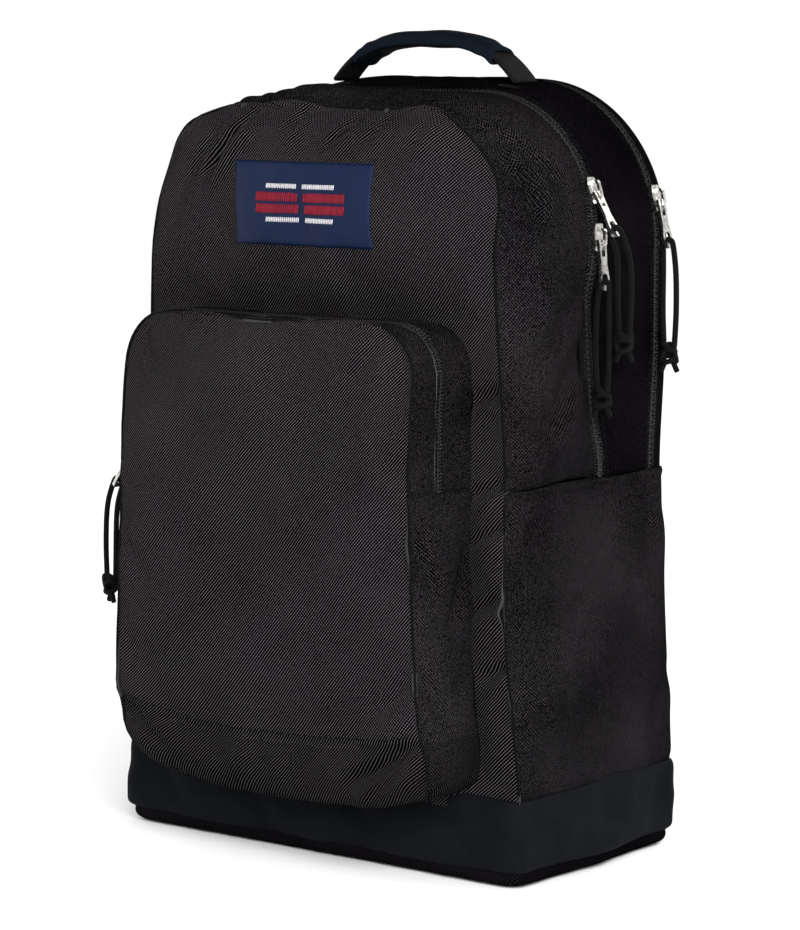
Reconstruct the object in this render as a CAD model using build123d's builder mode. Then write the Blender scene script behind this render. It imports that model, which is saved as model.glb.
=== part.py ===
from build123d import *
import os
from math import cos, pi, radians, sin

# A school backpack standing on its base. Millimetres. +X is the wearer's right side, -Y the front
# with the pocket, +Y the side that lies on the back, +Z up. The origin is the middle of the flat
# base under the main body.

# ---- driving dimensions ----
half_width = 142.0  # main body, each side of the middle
front_y = -80.0  # plane of the front panel
back_y = 80.0  # plane of the back panel
front_height = 451.0
back_height = 466.0
front_corner = 66.0  # radius of the front panel's top corners
back_corner = 95.0  # radius of the back panel's top corners
wall = 3.0  # padded and lined cloth
gap = 0.3  # between bodies that move against each other

base_height = 52.0  # top edge of the suede base
seam_height = 233.0  # cross seam at which every zip ends
lid_height = 334.0  # fold line of the main lid, just above the front pocket

pocket_half_width = 118.0
pocket_front_y = -132.0
pocket_bottom = 54.0
pocket_top = 328.0
pocket_corner = 32.0
band_height = 90.0  # seam of the pocket's bottom band
pocket_zip_y = -108.0

main_zip_y = 4.0
rear_zip_y = 67.0
tape_inset = 0.5
tape_thickness = 2.0
chain_width = 6.0
chain_stand = 1.2  # how far a zip's teeth stand out of the cloth
zip_rim = 5.2  # from the middle of the teeth to the edge of the lid's cloth

label_width = 105.0
label_height = 50.0
label_bottom = 369.5
label_thickness = 1.0

handle_y = 30.0
handle_pivot_z = 476.5
handle_half_span = 71.0
webbing_width = 22.0
webbing_thickness = 2.5
grip_half_span = 55.0
grip_thickness = 9.0
handle_top = 496.0

pin_height = 6.3  # of a pull's pin above the cloth
pin_drop = 2.3  # of a pull's pin below the middle of its slider
pull_length = 29.0
pull_thickness = 1.8
cord_diameter = 3.5
loop_half_gap = 3.5  # from the middle of a cord loop to the middle of each strand
hook_depth = 23.7  # of the cord's highest point below the pull's pin

strap_x = 66.0
strap_width = 58.0
strap_thickness = 12.0
strap_pivot_y = 91.0
strap_pivot_z = 436.0
strap_end_z = 165.0
buckle_height = 27.0
lower_webbing_width = 25.0

full = 600.0  # larger than the backpack, for cutting planes


# ---- shared shapes ----
def corner_radius(y):
    share = (y - front_y) / (back_y - front_y)
    return front_corner + (back_corner - front_corner) * share


def top_height(y):
    share = (y - front_y) / (back_y - front_y)
    return front_height + (back_height - front_height) * share


def arch_section(y, width, bottom, top, radius):
    """Upright arch outline in the XZ plane at y, with rounded top corners."""
    with BuildSketch(Plane.XZ.offset(-y)) as section:
        with Locations((0, (bottom + top) / 2)):
            Rectangle(2 * width, top - bottom)
        fillet(section.vertices().group_by(Axis.Y)[-1], radius)
    return section.sketch


def body_section(y, inset):
    return arch_section(y, half_width - inset, inset, top_height(y) - inset, corner_radius(y) - inset)


def body_solid(y0, y1, inset):
    with BuildPart() as solid:
        loft(sections=[body_section(y0, inset), body_section(y1, inset)])
    return solid.part


def keep_heights(z0, z1):
    """Cut the part that is being built to the heights from z0 to z1."""
    with Locations((0, 0, (z0 + z1) / 2)):
        Box(full, full, z1 - z0, mode=Mode.INTERSECT)


def keep_side(side):
    """Keep only the half of the part on one side of X = 0."""
    with Locations((side * full / 4, 0, full / 2)):
        Box(full / 2, full, full, mode=Mode.INTERSECT)


def body_hoop(y0, y1, outer, inner):
    """Band of the main body's wall between two depths, measured inwards from its surface."""
    with BuildPart() as hoop:
        add(body_solid(y0, y1, outer))
        add(body_solid(y0 - 1, y1 + 1, inner), mode=Mode.SUBTRACT)
    return hoop.part


def pocket_solid(y0, y1, inset):
    with BuildPart() as solid:
        with BuildSketch(Plane.XZ.offset(-y1)) as section:
            add(
                arch_section(
                    y1,
                    pocket_half_width - inset,
                    pocket_bottom + inset,
                    pocket_top - inset,
                    pocket_corner - inset,
                )
            )
        extrude(amount=y1 - y0)
    return solid.part


def pocket_hoop(y0, y1, outer, inner):
    with BuildPart() as hoop:
        add(pocket_solid(y0, y1, outer))
        add(pocket_solid(y0 - 1, y1 + 1, inner), mode=Mode.SUBTRACT)
    return hoop.part


os.makedirs("parts", exist_ok=True)


def save(part, name):
    part.label = name
    export_step(part, f"parts/{name}.step")


# ---- main body: the panels that stay with the base ----
with BuildPart() as front_panel_lower:
    add(body_solid(front_y, front_y + wall, 0))
    keep_heights(base_height, lid_height)
save(front_panel_lower.part, "front_panel_lower")

for side, side_name in ((-1, "left"), (1, "right")):
    with BuildPart() as side_panel:
        add(body_hoop(front_y + wall, back_y - 4, 0, wall))
        keep_heights(base_height, seam_height)
        keep_side(side)
    save(side_panel.part, f"side_panel_{side_name}")

    with BuildPart() as front_gusset:
        add(body_hoop(front_y + wall, main_zip_y - zip_rim, 0, wall))
        keep_heights(seam_height, lid_height)
        keep_side(side)
    save(front_gusset.part, f"front_gusset_{side_name}")

with BuildPart() as rear_gusset:
    add(body_hoop(main_zip_y + 10, rear_zip_y - 9, 0, wall))
    keep_heights(seam_height, full)
save(rear_gusset.part, "rear_gusset")

with BuildPart() as back_panel:
    add(body_solid(back_y - 4, back_y, 0))
    keep_heights(base_height, full)
save(back_panel.part, "back_panel")

# ---- main lid: upper front panel and the arch in front of the main zip ----
with BuildPart() as front_panel_upper:
    add(body_solid(front_y, front_y + wall, 0))
    keep_heights(lid_height + gap, full)
save(front_panel_upper.part, "front_panel_upper")

front_tape_y = main_zip_y - zip_rim - 7.5
with BuildPart() as front_gusset_arch:
    add(body_hoop(front_y + wall, front_tape_y, 0, wall))
    keep_heights(lid_height + gap, full)
save(front_gusset_arch.part, "front_gusset_arch")

with BuildPart() as main_zip_front_tape:
    add(body_hoop(front_tape_y, main_zip_y - zip_rim - gap, tape_inset, tape_inset + tape_thickness))
    keep_heights(lid_height + gap, full)
save(main_zip_front_tape.part, "main_zip_front_tape")

with BuildPart() as label:
    with BuildSketch(Plane.XZ.offset(-front_y)) as label_outline:
        with Locations((0, label_bottom + label_height / 2)):
            Rectangle(label_width, label_height)
    extrude(amount=label_thickness)
save(label.part, "label")


# ---- zips of the main body: a tape with a row of teeth on it ----
def zip_tape(y0, y1):
    with BuildPart() as tape:
        add(body_hoop(y0, y1, tape_inset, tape_inset + tape_thickness))
        keep_heights(seam_height, full)
    return tape.part


def zip_chain(y):
    with BuildPart() as chain:
        add(body_hoop(y - chain_width / 2, y + chain_width / 2, -chain_stand, tape_inset))
        keep_heights(seam_height + 1, full)
    return chain.part


save(zip_tape(main_zip_y - zip_rim, main_zip_y + 10), "main_zip_tape")
save(zip_chain(main_zip_y), "main_zip_chain")
save(zip_tape(rear_zip_y - 9, back_y - 4), "rear_zip_tape")
save(zip_chain(rear_zip_y), "rear_zip_chain")

# ---- base: suede tray, stiffener ----
with BuildPart() as suede_base:
    add(body_solid(front_y, back_y, 0))
    add(body_solid(front_y + wall, back_y - wall, wall), mode=Mode.SUBTRACT)
    keep_heights(0, base_height)
save(suede_base.part, "suede_base")

with BuildPart() as base_board:
    with BuildSketch(Plane.XY.offset(wall + gap)) as board_outline:
        RectangleRounded(2 * half_width - 16, back_y - front_y - 16, 8)
    extrude(amount=2.5)
save(base_board.part, "base_board")

# ---- inside: divider between the two compartments, laptop sleeve ----
divider_y = 36.0
with BuildPart() as compartment_divider:
    add(body_solid(divider_y, divider_y + 2, wall + 1))
    keep_heights(7, 430)
save(compartment_divider.part, "compartment_divider")

sleeve_half_width = 118.0
sleeve_top = 320.0
sleeve_bottom = 20.0
with BuildPart() as laptop_sleeve:
    with BuildSketch(Plane.XY.offset(sleeve_bottom)) as sleeve_outline:
        with Locations((0, 67)):
            Rectangle(2 * sleeve_half_width, 17.5)
        with Locations((0, 69)):
            Rectangle(2 * sleeve_half_width - 8, 14, mode=Mode.SUBTRACT)
    extrude(amount=sleeve_top - sleeve_bottom)
save(laptop_sleeve.part, "laptop_sleeve")

# ---- padding on the wearer's side ----
back_pad_thickness = 8.0
with BuildPart() as back_padding:
    with BuildSketch(Plane.XZ.offset(-back_y - back_pad_thickness)) as pad_outline:
        with Locations((-52, 235), (52, 235)):
            RectangleRounded(92, 320, 18)
    extrude(amount=back_pad_thickness)
    fillet(back_padding.edges().group_by(Axis.Y)[-1], 3)
save(back_padding.part, "back_padding")

# ---- front pocket: fixed part ----
with BuildPart() as pocket_face_lower:
    add(pocket_solid(pocket_front_y, pocket_front_y + wall, 0))
    keep_heights(band_height, seam_height)
save(pocket_face_lower.part, "pocket_face_lower")

with BuildPart() as pocket_band:
    add(pocket_solid(pocket_front_y, pocket_front_y + wall, 0))
    keep_heights(pocket_bottom, band_height)
save(pocket_band.part, "pocket_band")

with BuildPart() as pocket_floor:
    add(pocket_solid(pocket_front_y + wall, front_y - gap, 0))
    keep_heights(pocket_bottom, pocket_bottom + wall)
save(pocket_floor.part, "pocket_floor")

for side, side_name in ((-1, "left"), (1, "right")):
    with BuildPart() as pocket_side:
        add(pocket_hoop(pocket_front_y + wall, front_y - gap, 0, wall))
        keep_heights(pocket_bottom + wall, seam_height)
        keep_side(side)
    save(pocket_side.part, f"pocket_side_{side_name}")

pocket_tape_front = pocket_zip_y - zip_rim
pocket_tape_rear = pocket_zip_y + zip_rim
with BuildPart() as pocket_rear_arch:
    add(pocket_hoop(pocket_tape_rear, front_y - gap, 0, wall))
    keep_heights(seam_height, full)
save(pocket_rear_arch.part, "pocket_rear_arch")

with BuildPart() as pocket_zip_tape:
    add(pocket_hoop(pocket_tape_front, pocket_tape_rear, tape_inset, tape_inset + tape_thickness))
    keep_heights(seam_height, full)
save(pocket_zip_tape.part, "pocket_zip_tape")

with BuildPart() as pocket_zip_chain:
    half_chain = chain_width / 2
    add(pocket_hoop(pocket_zip_y - half_chain, pocket_zip_y + half_chain, -chain_stand, tape_inset))
    keep_heights(seam_height + 1, full)
save(pocket_zip_chain.part, "pocket_zip_chain")

with BuildPart() as organizer:
    with BuildSketch(Plane.XZ.offset(-front_y + gap)) as organizer_outline:
        with Locations((0, 150)):
            Rectangle(190, 140)
    extrude(amount=1.5)
save(organizer.part, "organizer")

# ---- front pocket: the part that folds forward when its zip is open ----
with BuildPart() as pocket_face_upper:
    add(pocket_solid(pocket_front_y, pocket_front_y + wall, 0))
    keep_heights(seam_height + gap, full)
save(pocket_face_upper.part, "pocket_face_upper")

with BuildPart() as pocket_front_arch:
    add(pocket_hoop(pocket_front_y + wall, pocket_tape_front - gap, 0, wall))
    keep_heights(seam_height + gap, full)
save(pocket_front_arch.part, "pocket_front_arch")

# ---- haul handle: two webbing legs, suede grip, tabs sewn to the top ----
tab_thickness = 1.5
with BuildPart() as handle_tabs:
    with BuildSketch(Plane.XZ.offset(-handle_y - webbing_width / 2)) as tab_outline:
        tab_height = top_height(handle_y + webbing_width / 2)
        with Locations((-handle_half_span, tab_height), (handle_half_span, tab_height)):
            Rectangle(26, 2 * tab_thickness)
    extrude(amount=webbing_width)
    add(body_solid(front_y, back_y, -gap / 10), mode=Mode.SUBTRACT)
save(handle_tabs.part, "handle_tabs")

leg_radius = webbing_width / 2
arch_rise = handle_top - grip_thickness / 2 - handle_pivot_z


def handle_band(thickness, half_span):
    """Arched band in the XZ plane, cut to a span."""
    low = handle_pivot_z - thickness / 2
    high = handle_pivot_z + thickness / 2
    reach = handle_half_span
    with BuildPart() as band:
        with BuildSketch(Plane.XZ.offset(-handle_y)) as band_outline:
            with BuildLine() as band_edges:
                ThreePointArc((-reach, high), (0, high + arch_rise), (reach, high))
                Line((reach, high), (reach, low))
                ThreePointArc((reach, low), (0, low + arch_rise), (-reach, low))
                Line((-reach, low), (-reach, high))
            make_face()
        extrude(amount=webbing_width / 2, both=True)
        with Locations((0, handle_y, handle_pivot_z)):
            Box(2 * half_span, full, full, mode=Mode.INTERSECT)
    return band.part


with BuildPart() as handle_grip:
    add(handle_band(grip_thickness, grip_half_span))
    fillet(handle_grip.edges().filter_by(GeomType.CIRCLE), 3)
save(handle_grip.part, "handle_grip")

with BuildPart() as handle_webbing:
    add(handle_band(webbing_thickness, handle_half_span))
    with Locations((0, handle_y, handle_pivot_z)):
        Box(2 * grip_half_span, full, full, mode=Mode.SUBTRACT)
    for side in (-1, 1):
        with BuildSketch(Plane.YZ.offset(side * handle_half_span)) as leg_end:
            with Locations((handle_y, handle_pivot_z)):
                Circle(leg_radius)
        extrude(amount=webbing_thickness / 2, both=True)
save(handle_webbing.part, "handle_webbing")


# ---- zip sliders, their pulls and cord loops ----
def outward_plane(point, side, angle):
    """Plane at a point of a side: X away from the cloth, Z up along the zip, tilted by angle."""
    lean = radians(angle)
    return Plane(
        origin=point,
        x_dir=(side * cos(lean), 0, sin(lean)),
        z_dir=(-side * sin(lean), 0, cos(lean)),
    )


def plane_across(seat, height):
    """Sketch plane parallel to the cloth: its X runs across the zip, its Y along it."""
    return Plane(origin=seat.origin + seat.x_dir * height, x_dir=seat.y_dir, z_dir=seat.x_dir)


def plane_side_on(seat):
    """Sketch plane through the zip: its X points away from the cloth, its Y along the zip."""
    return Plane(origin=seat.origin, x_dir=seat.x_dir, z_dir=seat.y_dir * -1)


def slider(seat):
    """Slider body that tapers upwards, with a bail that holds the pull's pin."""
    with BuildPart() as runner:
        with BuildSketch(plane_across(seat, chain_stand + gap)) as shield:
            with BuildLine() as shield_edges:
                Polyline((-3.4, -8), (3.4, -8), (4.6, 2), (3.6, 8), (-3.6, 8), (-4.6, 2), close=True)
            make_face()
            fillet(shield.vertices(), 1.2)
        extrude(amount=2.9)
        with BuildSketch(plane_side_on(seat)) as bail:
            with Locations((6.6, 0)):
                RectangleRounded(6, 11, 2.4)
            with Locations((6.25, 0)):
                RectangleRounded(3.5, 8, 1.6, mode=Mode.SUBTRACT)
        extrude(amount=1.1, both=True)
    return runner.part


def pull(seat):
    """Flat pull hanging from its pin at the plane's origin, with a window for the bail."""
    with BuildPart() as tab:
        with BuildSketch(plane_across(seat, -pull_thickness / 2)) as plate:
            with BuildLine() as plate_edges:
                Polyline(
                    (-3.5, 0.9),
                    (3.5, 0.9),
                    (2.9, -14),
                    (4.2, -21),
                    (4.2, -pull_length),
                    (-4.2, -pull_length),
                    (-4.2, -21),
                    (-2.9, -14),
                    close=True,
                )
            make_face()
            fillet(plate.vertices().group_by(Axis.Y)[0], 2.5)
            with Locations((0, -4.95)):
                Rectangle(3.2, 8.1, mode=Mode.SUBTRACT)
            with Locations((0, -22.5)):
                RectangleRounded(5.2, 7, 2.5, mode=Mode.SUBTRACT)
        extrude(amount=pull_thickness)
    return tab.part


def arc_radii(points):
    """Largest smooth arc at each corner of a route: 0.45 of the shorter run over the half turn."""
    radii = []
    for before, corner, after in zip(points, points[1:], points[2:]):
        run_in = Vector(*corner) - Vector(*before)
        run_out = Vector(*after) - Vector(*corner)
        half_turn = radians(run_in.get_angle(run_out)) / 2
        shorter = min(run_in.length, run_out.length)
        radii.append(0.45 * shorter * cos(half_turn) / sin(half_turn))
    return radii


# Route of a cord loop from the pull's hole: X away from the pull, Y across it, Z up, measured from
# the cord's highest point in the hole. It goes down to the knot and returns on the cloth's side.
loop_route = [
    (0.0, 0.0, 0.0),
    (3.6, 0.0, 0.1),
    (3.9, 0.1, -7.0),
    (4.6, 0.3, -20.0),
    (4.9, 0.4, -42.0),
    (4.2, 0.2, -58.0),
    (3.5, 0.0, -68.0),
    (-3.5, 0.0, -68.4),
    (-4.0, -0.2, -58.0),
    (-4.6, -0.4, -42.0),
    (-4.4, -0.3, -20.0),
    (-3.9, -0.1, -7.0),
    (-3.6, 0.0, 0.1),
]
knot_height = 13.0
knot_radius = 5.4


def place_route(hook, side, drift, lean, follow):
    """World points of a cord loop that leaves its pull at a lean and bends to hang straight down.

    drift is its shift along Y, and follow the depth at which it hangs straight.
    """
    slope = radians(lean)
    points = []
    for out, across, up in loop_route:
        depth = max(0.0, -up)
        bent = min(depth, follow)
        swing = bent - bent**2 / (2 * follow)
        share = bent / follow
        turned = slope * (1 - share)
        x = side * (out * cos(turned) + swing * sin(slope))
        z = up + out * sin(turned) + swing * (1 - cos(slope))
        points.append((hook.X + x, hook.Y + across + drift * min(1.0, depth / 20), hook.Z + z))
    return points


def knot(point):
    with BuildPart(Plane(origin=point)) as bead:
        Cylinder(knot_radius, knot_height)
        fillet(bead.edges().filter_by(GeomType.CIRCLE), 3)
    return bead.part


def cord_loop(name, points, knot_point):
    with BuildPart() as cord:
        radii = arc_radii(points)
        with BuildLine() as route:
            FilletPolyline(*points, radius=radii)
        with BuildSketch(Plane(origin=route.line @ 0, z_dir=route.line % 0)) as cross_section:
            Circle(cord_diameter / 2)
        sweep()
        length = sum(edge.length for edge in route.edges())
        tube_share = cord.part.volume / (pi * cord_diameter**2 / 4 * length)
        add(knot(knot_point))
    print(name, "cord", round(length, 1), "volume share", round(tube_share, 3))
    print("   arc radii", [round(r, 1) for r in radii])
    return cord.part


def on_arc(zip_y, side, angle):
    """Point of the body's surface on its corner arc, angle degrees above the arc's centre."""
    radius = corner_radius(zip_y)
    x = half_width - radius + radius * cos(radians(angle))
    z = top_height(zip_y) - radius + radius * sin(radians(angle))
    return Vector(side * x, zip_y, z)


def zip_runner(letter, point, side, lean, pull_lean, drift=0.0, follow=20.0):
    """One slider with its pull and its cord loop, at a point of the cloth."""
    seat = outward_plane(point, side, lean)
    save(slider(seat), f"slider_{letter}")
    pin = seat.origin + seat.x_dir * pin_height - seat.z_dir * pin_drop
    pull_seat = outward_plane(pin, side, pull_lean)
    save(pull(pull_seat), f"pull_{letter}")
    hook = pull_seat.origin - pull_seat.z_dir * hook_depth
    points = place_route(hook, side, drift, pull_lean, follow)
    lowest = (Vector(*points[6]) + Vector(*points[7])) * 0.5
    save(cord_loop(letter, points, lowest), f"cord_{letter}")
    print(letter, "pin", [round(c, 2) for c in pin], "hook", [round(c, 2) for c in hook])


zip_runner("a", on_arc(main_zip_y, 1, 17.6), 1, 17.6, 30, drift=4.4)
zip_runner("b", Vector(half_width, main_zip_y, 376), 1, 0, 5, drift=-2.8)
zip_runner("c", on_arc(rear_zip_y, 1, 14.6), 1, 14.6, 12)
zip_runner("d", on_arc(main_zip_y, -1, 50), -1, 50, 47, follow=44.0)
zip_runner("e", Vector(-pocket_half_width, pocket_zip_y, 243), -1, 0, 33, follow=30.0)

# ---- shoulder straps ----
with BuildPart() as strap_yoke:
    with BuildSketch(Plane.XZ.offset(-back_y - 3)) as yoke_outline:
        with Locations((0, 430)):
            RectangleRounded(196, 36, 8)
    extrude(amount=3)
save(strap_yoke.part, "strap_yoke")

pad_half = strap_thickness / 2
for side, side_name in ((-1, "left"), (1, "right")):
    with BuildPart() as strap_pad:
        with BuildSketch(Plane.YZ.offset(side * strap_x)) as strap_profile:
            with BuildLine() as strap_edges:
                ThreePointArc(
                    (strap_pivot_y - pad_half, strap_pivot_z),
                    (106, 300),
                    (96, strap_end_z),
                )
                Line((96, strap_end_z), (96 + strap_thickness, strap_end_z))
                ThreePointArc(
                    (96 + strap_thickness, strap_end_z),
                    (106 + strap_thickness, 300),
                    (strap_pivot_y + pad_half, strap_pivot_z),
                )
                ThreePointArc(
                    (strap_pivot_y + pad_half, strap_pivot_z),
                    (strap_pivot_y, strap_pivot_z + pad_half),
                    (strap_pivot_y - pad_half, strap_pivot_z),
                )
            make_face()
        extrude(amount=strap_width / 2, both=True)
    save(strap_pad.part, f"strap_pad_{side_name}")

    with BuildPart() as ladder_lock:
        with BuildSketch(Plane.XZ.offset(-105)) as lock_outline:
            with Locations((side * strap_x, strap_end_z - gap - buckle_height / 2)):
                RectangleRounded(34, buckle_height, 3)
            with Locations(
                (side * strap_x, strap_end_z - gap - 7),
                (side * strap_x, strap_end_z - gap - 19),
            ):
                RectangleRounded(26, 5, 1, mode=Mode.SUBTRACT)
        extrude(amount=4)
    save(ladder_lock.part, f"ladder_lock_{side_name}")

    lock_bottom = strap_end_z - gap - buckle_height - 0.5
    with BuildPart() as lower_webbing:
        with BuildSketch(Plane(origin=(side * strap_x, 103, lock_bottom), z_dir=(0, 0, -1))) as start:
            Rectangle(lower_webbing_width, 1.6)
        with BuildSketch(Plane(origin=(side * 112, 83.6, 48), z_dir=(0, 0, -1))) as finish:
            Rectangle(lower_webbing_width, 1.6)
        loft(sections=[start.sketch, finish.sketch])
    save(lower_webbing.part, f"lower_webbing_{side_name}")

with BuildPart() as corner_tabs:
    with BuildSketch(Plane.XZ.offset(-back_y - 2.4)) as tabs_outline:
        for side in (-1, 1):
            with BuildLine() as tab_edges:
                Polyline(
                    (side * 98, 50),
                    (side * 126, 50),
                    (side * 139, 12),
                    (side * 105, 12),
                    close=True,
                )
            make_face()
    extrude(amount=2.4)
save(corner_tabs.part, "corner_tabs")
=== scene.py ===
from math import cos, pi, radians, sin, sqrt

import bmesh
import bpy
import numpy as np
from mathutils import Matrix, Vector
from mathutils.bvhtree import BVHTree


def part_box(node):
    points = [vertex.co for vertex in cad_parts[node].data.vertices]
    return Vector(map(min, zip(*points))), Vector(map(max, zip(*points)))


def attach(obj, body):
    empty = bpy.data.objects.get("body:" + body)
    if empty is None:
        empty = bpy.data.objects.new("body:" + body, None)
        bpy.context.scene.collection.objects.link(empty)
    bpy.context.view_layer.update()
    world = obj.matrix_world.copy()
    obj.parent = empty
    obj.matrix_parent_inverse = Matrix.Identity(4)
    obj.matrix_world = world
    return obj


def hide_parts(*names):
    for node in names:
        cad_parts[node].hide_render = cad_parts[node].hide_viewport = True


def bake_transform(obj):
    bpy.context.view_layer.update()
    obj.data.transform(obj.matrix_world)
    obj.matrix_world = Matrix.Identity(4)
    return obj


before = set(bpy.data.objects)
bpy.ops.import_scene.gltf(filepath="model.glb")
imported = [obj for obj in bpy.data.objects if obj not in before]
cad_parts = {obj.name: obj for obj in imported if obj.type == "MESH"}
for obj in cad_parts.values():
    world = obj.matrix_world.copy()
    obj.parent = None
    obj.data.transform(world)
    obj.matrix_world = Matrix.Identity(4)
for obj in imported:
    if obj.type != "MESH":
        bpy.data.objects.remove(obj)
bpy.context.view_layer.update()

# A school backpack: cloth skins, zips, suede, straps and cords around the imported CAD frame. Metres.

# ---- sizes read from the frame ----
BACK_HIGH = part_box("back_panel")[1]
LID_LOW, LID_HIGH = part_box("front_panel_upper")
FACE_LOW, FACE_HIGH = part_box("pocket_face_upper")
HALF = BACK_HIGH.x
FRONT_Y = LID_LOW.y
BACK_Y = BACK_HIGH.y
FRONT_TOP = LID_HIGH.z
BACK_TOP = BACK_HIGH.z
LID_Z = LID_LOW.z
SEAM_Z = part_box("rear_gusset")[0].z
BASE_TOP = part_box("suede_base")[1].z
ZIP_Y = sum(c.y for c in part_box("main_zip_chain")) / 2
REAR_ZIP_Y = sum(c.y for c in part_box("rear_zip_chain")) / 2
POCKET_HALF = FACE_HIGH.x
POCKET_Y = FACE_LOW.y
POCKET_TOP = FACE_HIGH.z
POCKET_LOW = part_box("pocket_floor")[0].z
BAND_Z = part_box("pocket_band")[1].z
POCKET_ZIP_Y = sum(c.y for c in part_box("pocket_zip_chain")) / 2

FRONT_CORNER = 0.066
BACK_CORNER = 0.095
POCKET_CORNER = 0.032
SKIRT = 0.044  # the cloth starts this high, inside the suede
RIM = 0.0034  # half the opening between the cloth edges of the main zip
REAR_RIM = 0.0028
POCKET_RIM = 0.0019


# ---- small helpers ----
def smooth_step(low, high, value):
    """Rise smoothly from 0 at low to 1 at high."""
    t = np.clip((value - low) / (high - low), 0.0, 1.0)
    return t * t * (3 - 2 * t)


def bell(distance, width):
    """A smooth hump of height 1, by distance from its centre."""
    return np.exp(-((distance / width) ** 2))


def new_mesh(name, verts, faces, materials, smooth=True):
    """Make a mesh object from vertices, faces and materials."""
    mesh = bpy.data.meshes.new(name)
    mesh.from_pydata([tuple(v) for v in verts], [], [tuple(f) for f in faces])
    mesh.update()
    obj = bpy.data.objects.new(name, mesh)
    bpy.context.scene.collection.objects.link(obj)
    for material in materials:
        mesh.materials.append(material)
    if smooth:
        mesh.polygons.foreach_set("use_smooth", [True] * len(mesh.polygons))
    return obj


def coords(obj):
    """Places of the vertices, three columns."""
    co = np.empty(len(obj.data.vertices) * 3)
    obj.data.vertices.foreach_get("co", co)
    return co.reshape(-1, 3)


def set_coords(obj, co):
    """Write places back to the vertices."""
    obj.data.vertices.foreach_set("co", np.asarray(co).ravel())
    obj.data.update()


def normals(obj):
    """Normals of the vertices, three columns."""
    n = np.empty(len(obj.data.vertices) * 3)
    obj.data.vertices.foreach_get("normal", n)
    return n.reshape(-1, 3)


def apply_modifiers(obj):
    """Bake every modifier of obj into its mesh."""
    graph = bpy.context.evaluated_depsgraph_get()
    shaped = obj.evaluated_get(graph)
    mesh = bpy.data.meshes.new_from_object(shaped, preserve_all_data_layers=True, depsgraph=graph)
    obj.modifiers.clear()
    old = obj.data
    obj.data = mesh
    bpy.data.meshes.remove(old)
    return obj


def subdivide(obj, levels=1):
    """Refine and smooth a mesh."""
    modifier = obj.modifiers.new("subdivision", "SUBSURF")
    modifier.levels = levels
    modifier.render_levels = levels
    modifier.boundary_smooth = "PRESERVE_CORNERS"
    return apply_modifiers(obj)


def thicken(obj, thickness, inner_slot=0):
    """Give a sheet its thickness, inwards."""
    modifier = obj.modifiers.new("thickness", "SOLIDIFY")
    modifier.thickness = thickness
    modifier.offset = -1
    modifier.material_offset = inner_slot
    modifier.material_offset_rim = inner_slot
    return apply_modifiers(obj)


def agree_normals(obj):
    """Turn the faces of a surface so that they all look to its outside."""
    mesh = bmesh.new()
    mesh.from_mesh(obj.data)
    bmesh.ops.recalc_face_normals(mesh, faces=mesh.faces)
    mesh.to_mesh(obj.data)
    mesh.free()


def outward(obj, centre):
    """Turn the faces so that they look away from a centre point."""
    agree_normals(obj)
    co = coords(obj)
    n = normals(obj)
    if np.sum((co - np.array(centre)) * n) < 0:
        obj.data.flip_normals()
    return obj


def ring_faces(rings, sides, closed=False, capped=True):
    """Faces that join rings of vertices one after another, with flat end caps where capped."""
    faces = []
    for i in range(rings if closed else rings - 1):
        j = (i + 1) % rings
        for k in range(sides):
            m = (k + 1) % sides
            faces.append((i * sides + k, i * sides + m, j * sides + m, j * sides + k))
    if capped:
        faces.append(tuple(range(sides))[::-1])
        faces.append(tuple((rings - 1) * sides + k for k in range(sides)))
    return faces


def tube(points, radius, sides=10, closed=False, flat=1.0, up=(0, 0, 1)):
    """Vertices and faces of a tube along points, with its section flattened along up."""
    path = np.array(points, float)
    count = len(path)
    if closed:
        tangents = np.roll(path, -1, 0) - np.roll(path, 1, 0)
    else:
        tangents = np.gradient(path, axis=0)
    tangents /= np.linalg.norm(tangents, axis=1)[:, None]
    verts = []
    up = np.array(up, float)
    radii = np.broadcast_to(radius, (count,))
    for point, tangent, r in zip(path, tangents, radii):
        side = np.cross(tangent, up)
        if np.linalg.norm(side) < 1e-4:
            side = np.cross(tangent, (0.0, 1.0, 0.3))
        side /= np.linalg.norm(side)
        lift = np.cross(side, tangent)
        for k in range(sides):
            a = 2 * pi * k / sides
            verts.append(point + side * r * cos(a) + lift * r * flat * sin(a))
    return verts, ring_faces(count, sides, closed, not closed)


class Bits:
    """Many small pieces collected into one mesh."""

    def __init__(self):
        self.verts = []
        self.faces = []

    def add(self, verts, faces):
        base = len(self.verts)
        self.verts += [tuple(v) for v in verts]
        self.faces += [tuple(base + i for i in f) for f in faces]

    def object(self, name, materials):
        return new_mesh(name, self.verts, self.faces, materials)


def capsule(bits, centre, along, out, length, width, height, sides=6):
    """Small rounded rod: length along a direction, width across, height outwards."""
    along = np.array(along, float)
    along /= np.linalg.norm(along)
    out = np.array(out, float)
    across = np.cross(along, out)
    across /= np.linalg.norm(across)
    out = np.cross(across, along)
    rings = ((-0.5, 0.35), (-0.38, 0.85), (0.0, 1.0), (0.38, 0.85), (0.5, 0.35))
    verts = []
    for place, scale in rings:
        for k in range(sides):
            a = 2 * pi * k / sides
            verts.append(
                np.array(centre)
                + along * place * length
                + across * cos(a) * width / 2 * scale
                + out * sin(a) * height / 2 * scale
            )
    bits.add(verts, ring_faces(len(rings), sides))


def along_path(points, spacing, start=0.0):
    """Points and directions at even spacing along a polyline."""
    path = np.array(points, float)
    steps = np.linalg.norm(np.diff(path, axis=0), axis=1)
    reach = np.concatenate([[0], np.cumsum(steps)])
    places = np.arange(start, reach[-1], spacing)
    out = np.stack([np.interp(places, reach, path[:, i]) for i in range(3)], 1)
    ahead = np.stack([np.interp(places + spacing * 0.3, reach, path[:, i]) for i in range(3)], 1)
    behind = np.stack([np.interp(places - spacing * 0.3, reach, path[:, i]) for i in range(3)], 1)
    return out, ahead - behind


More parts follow.
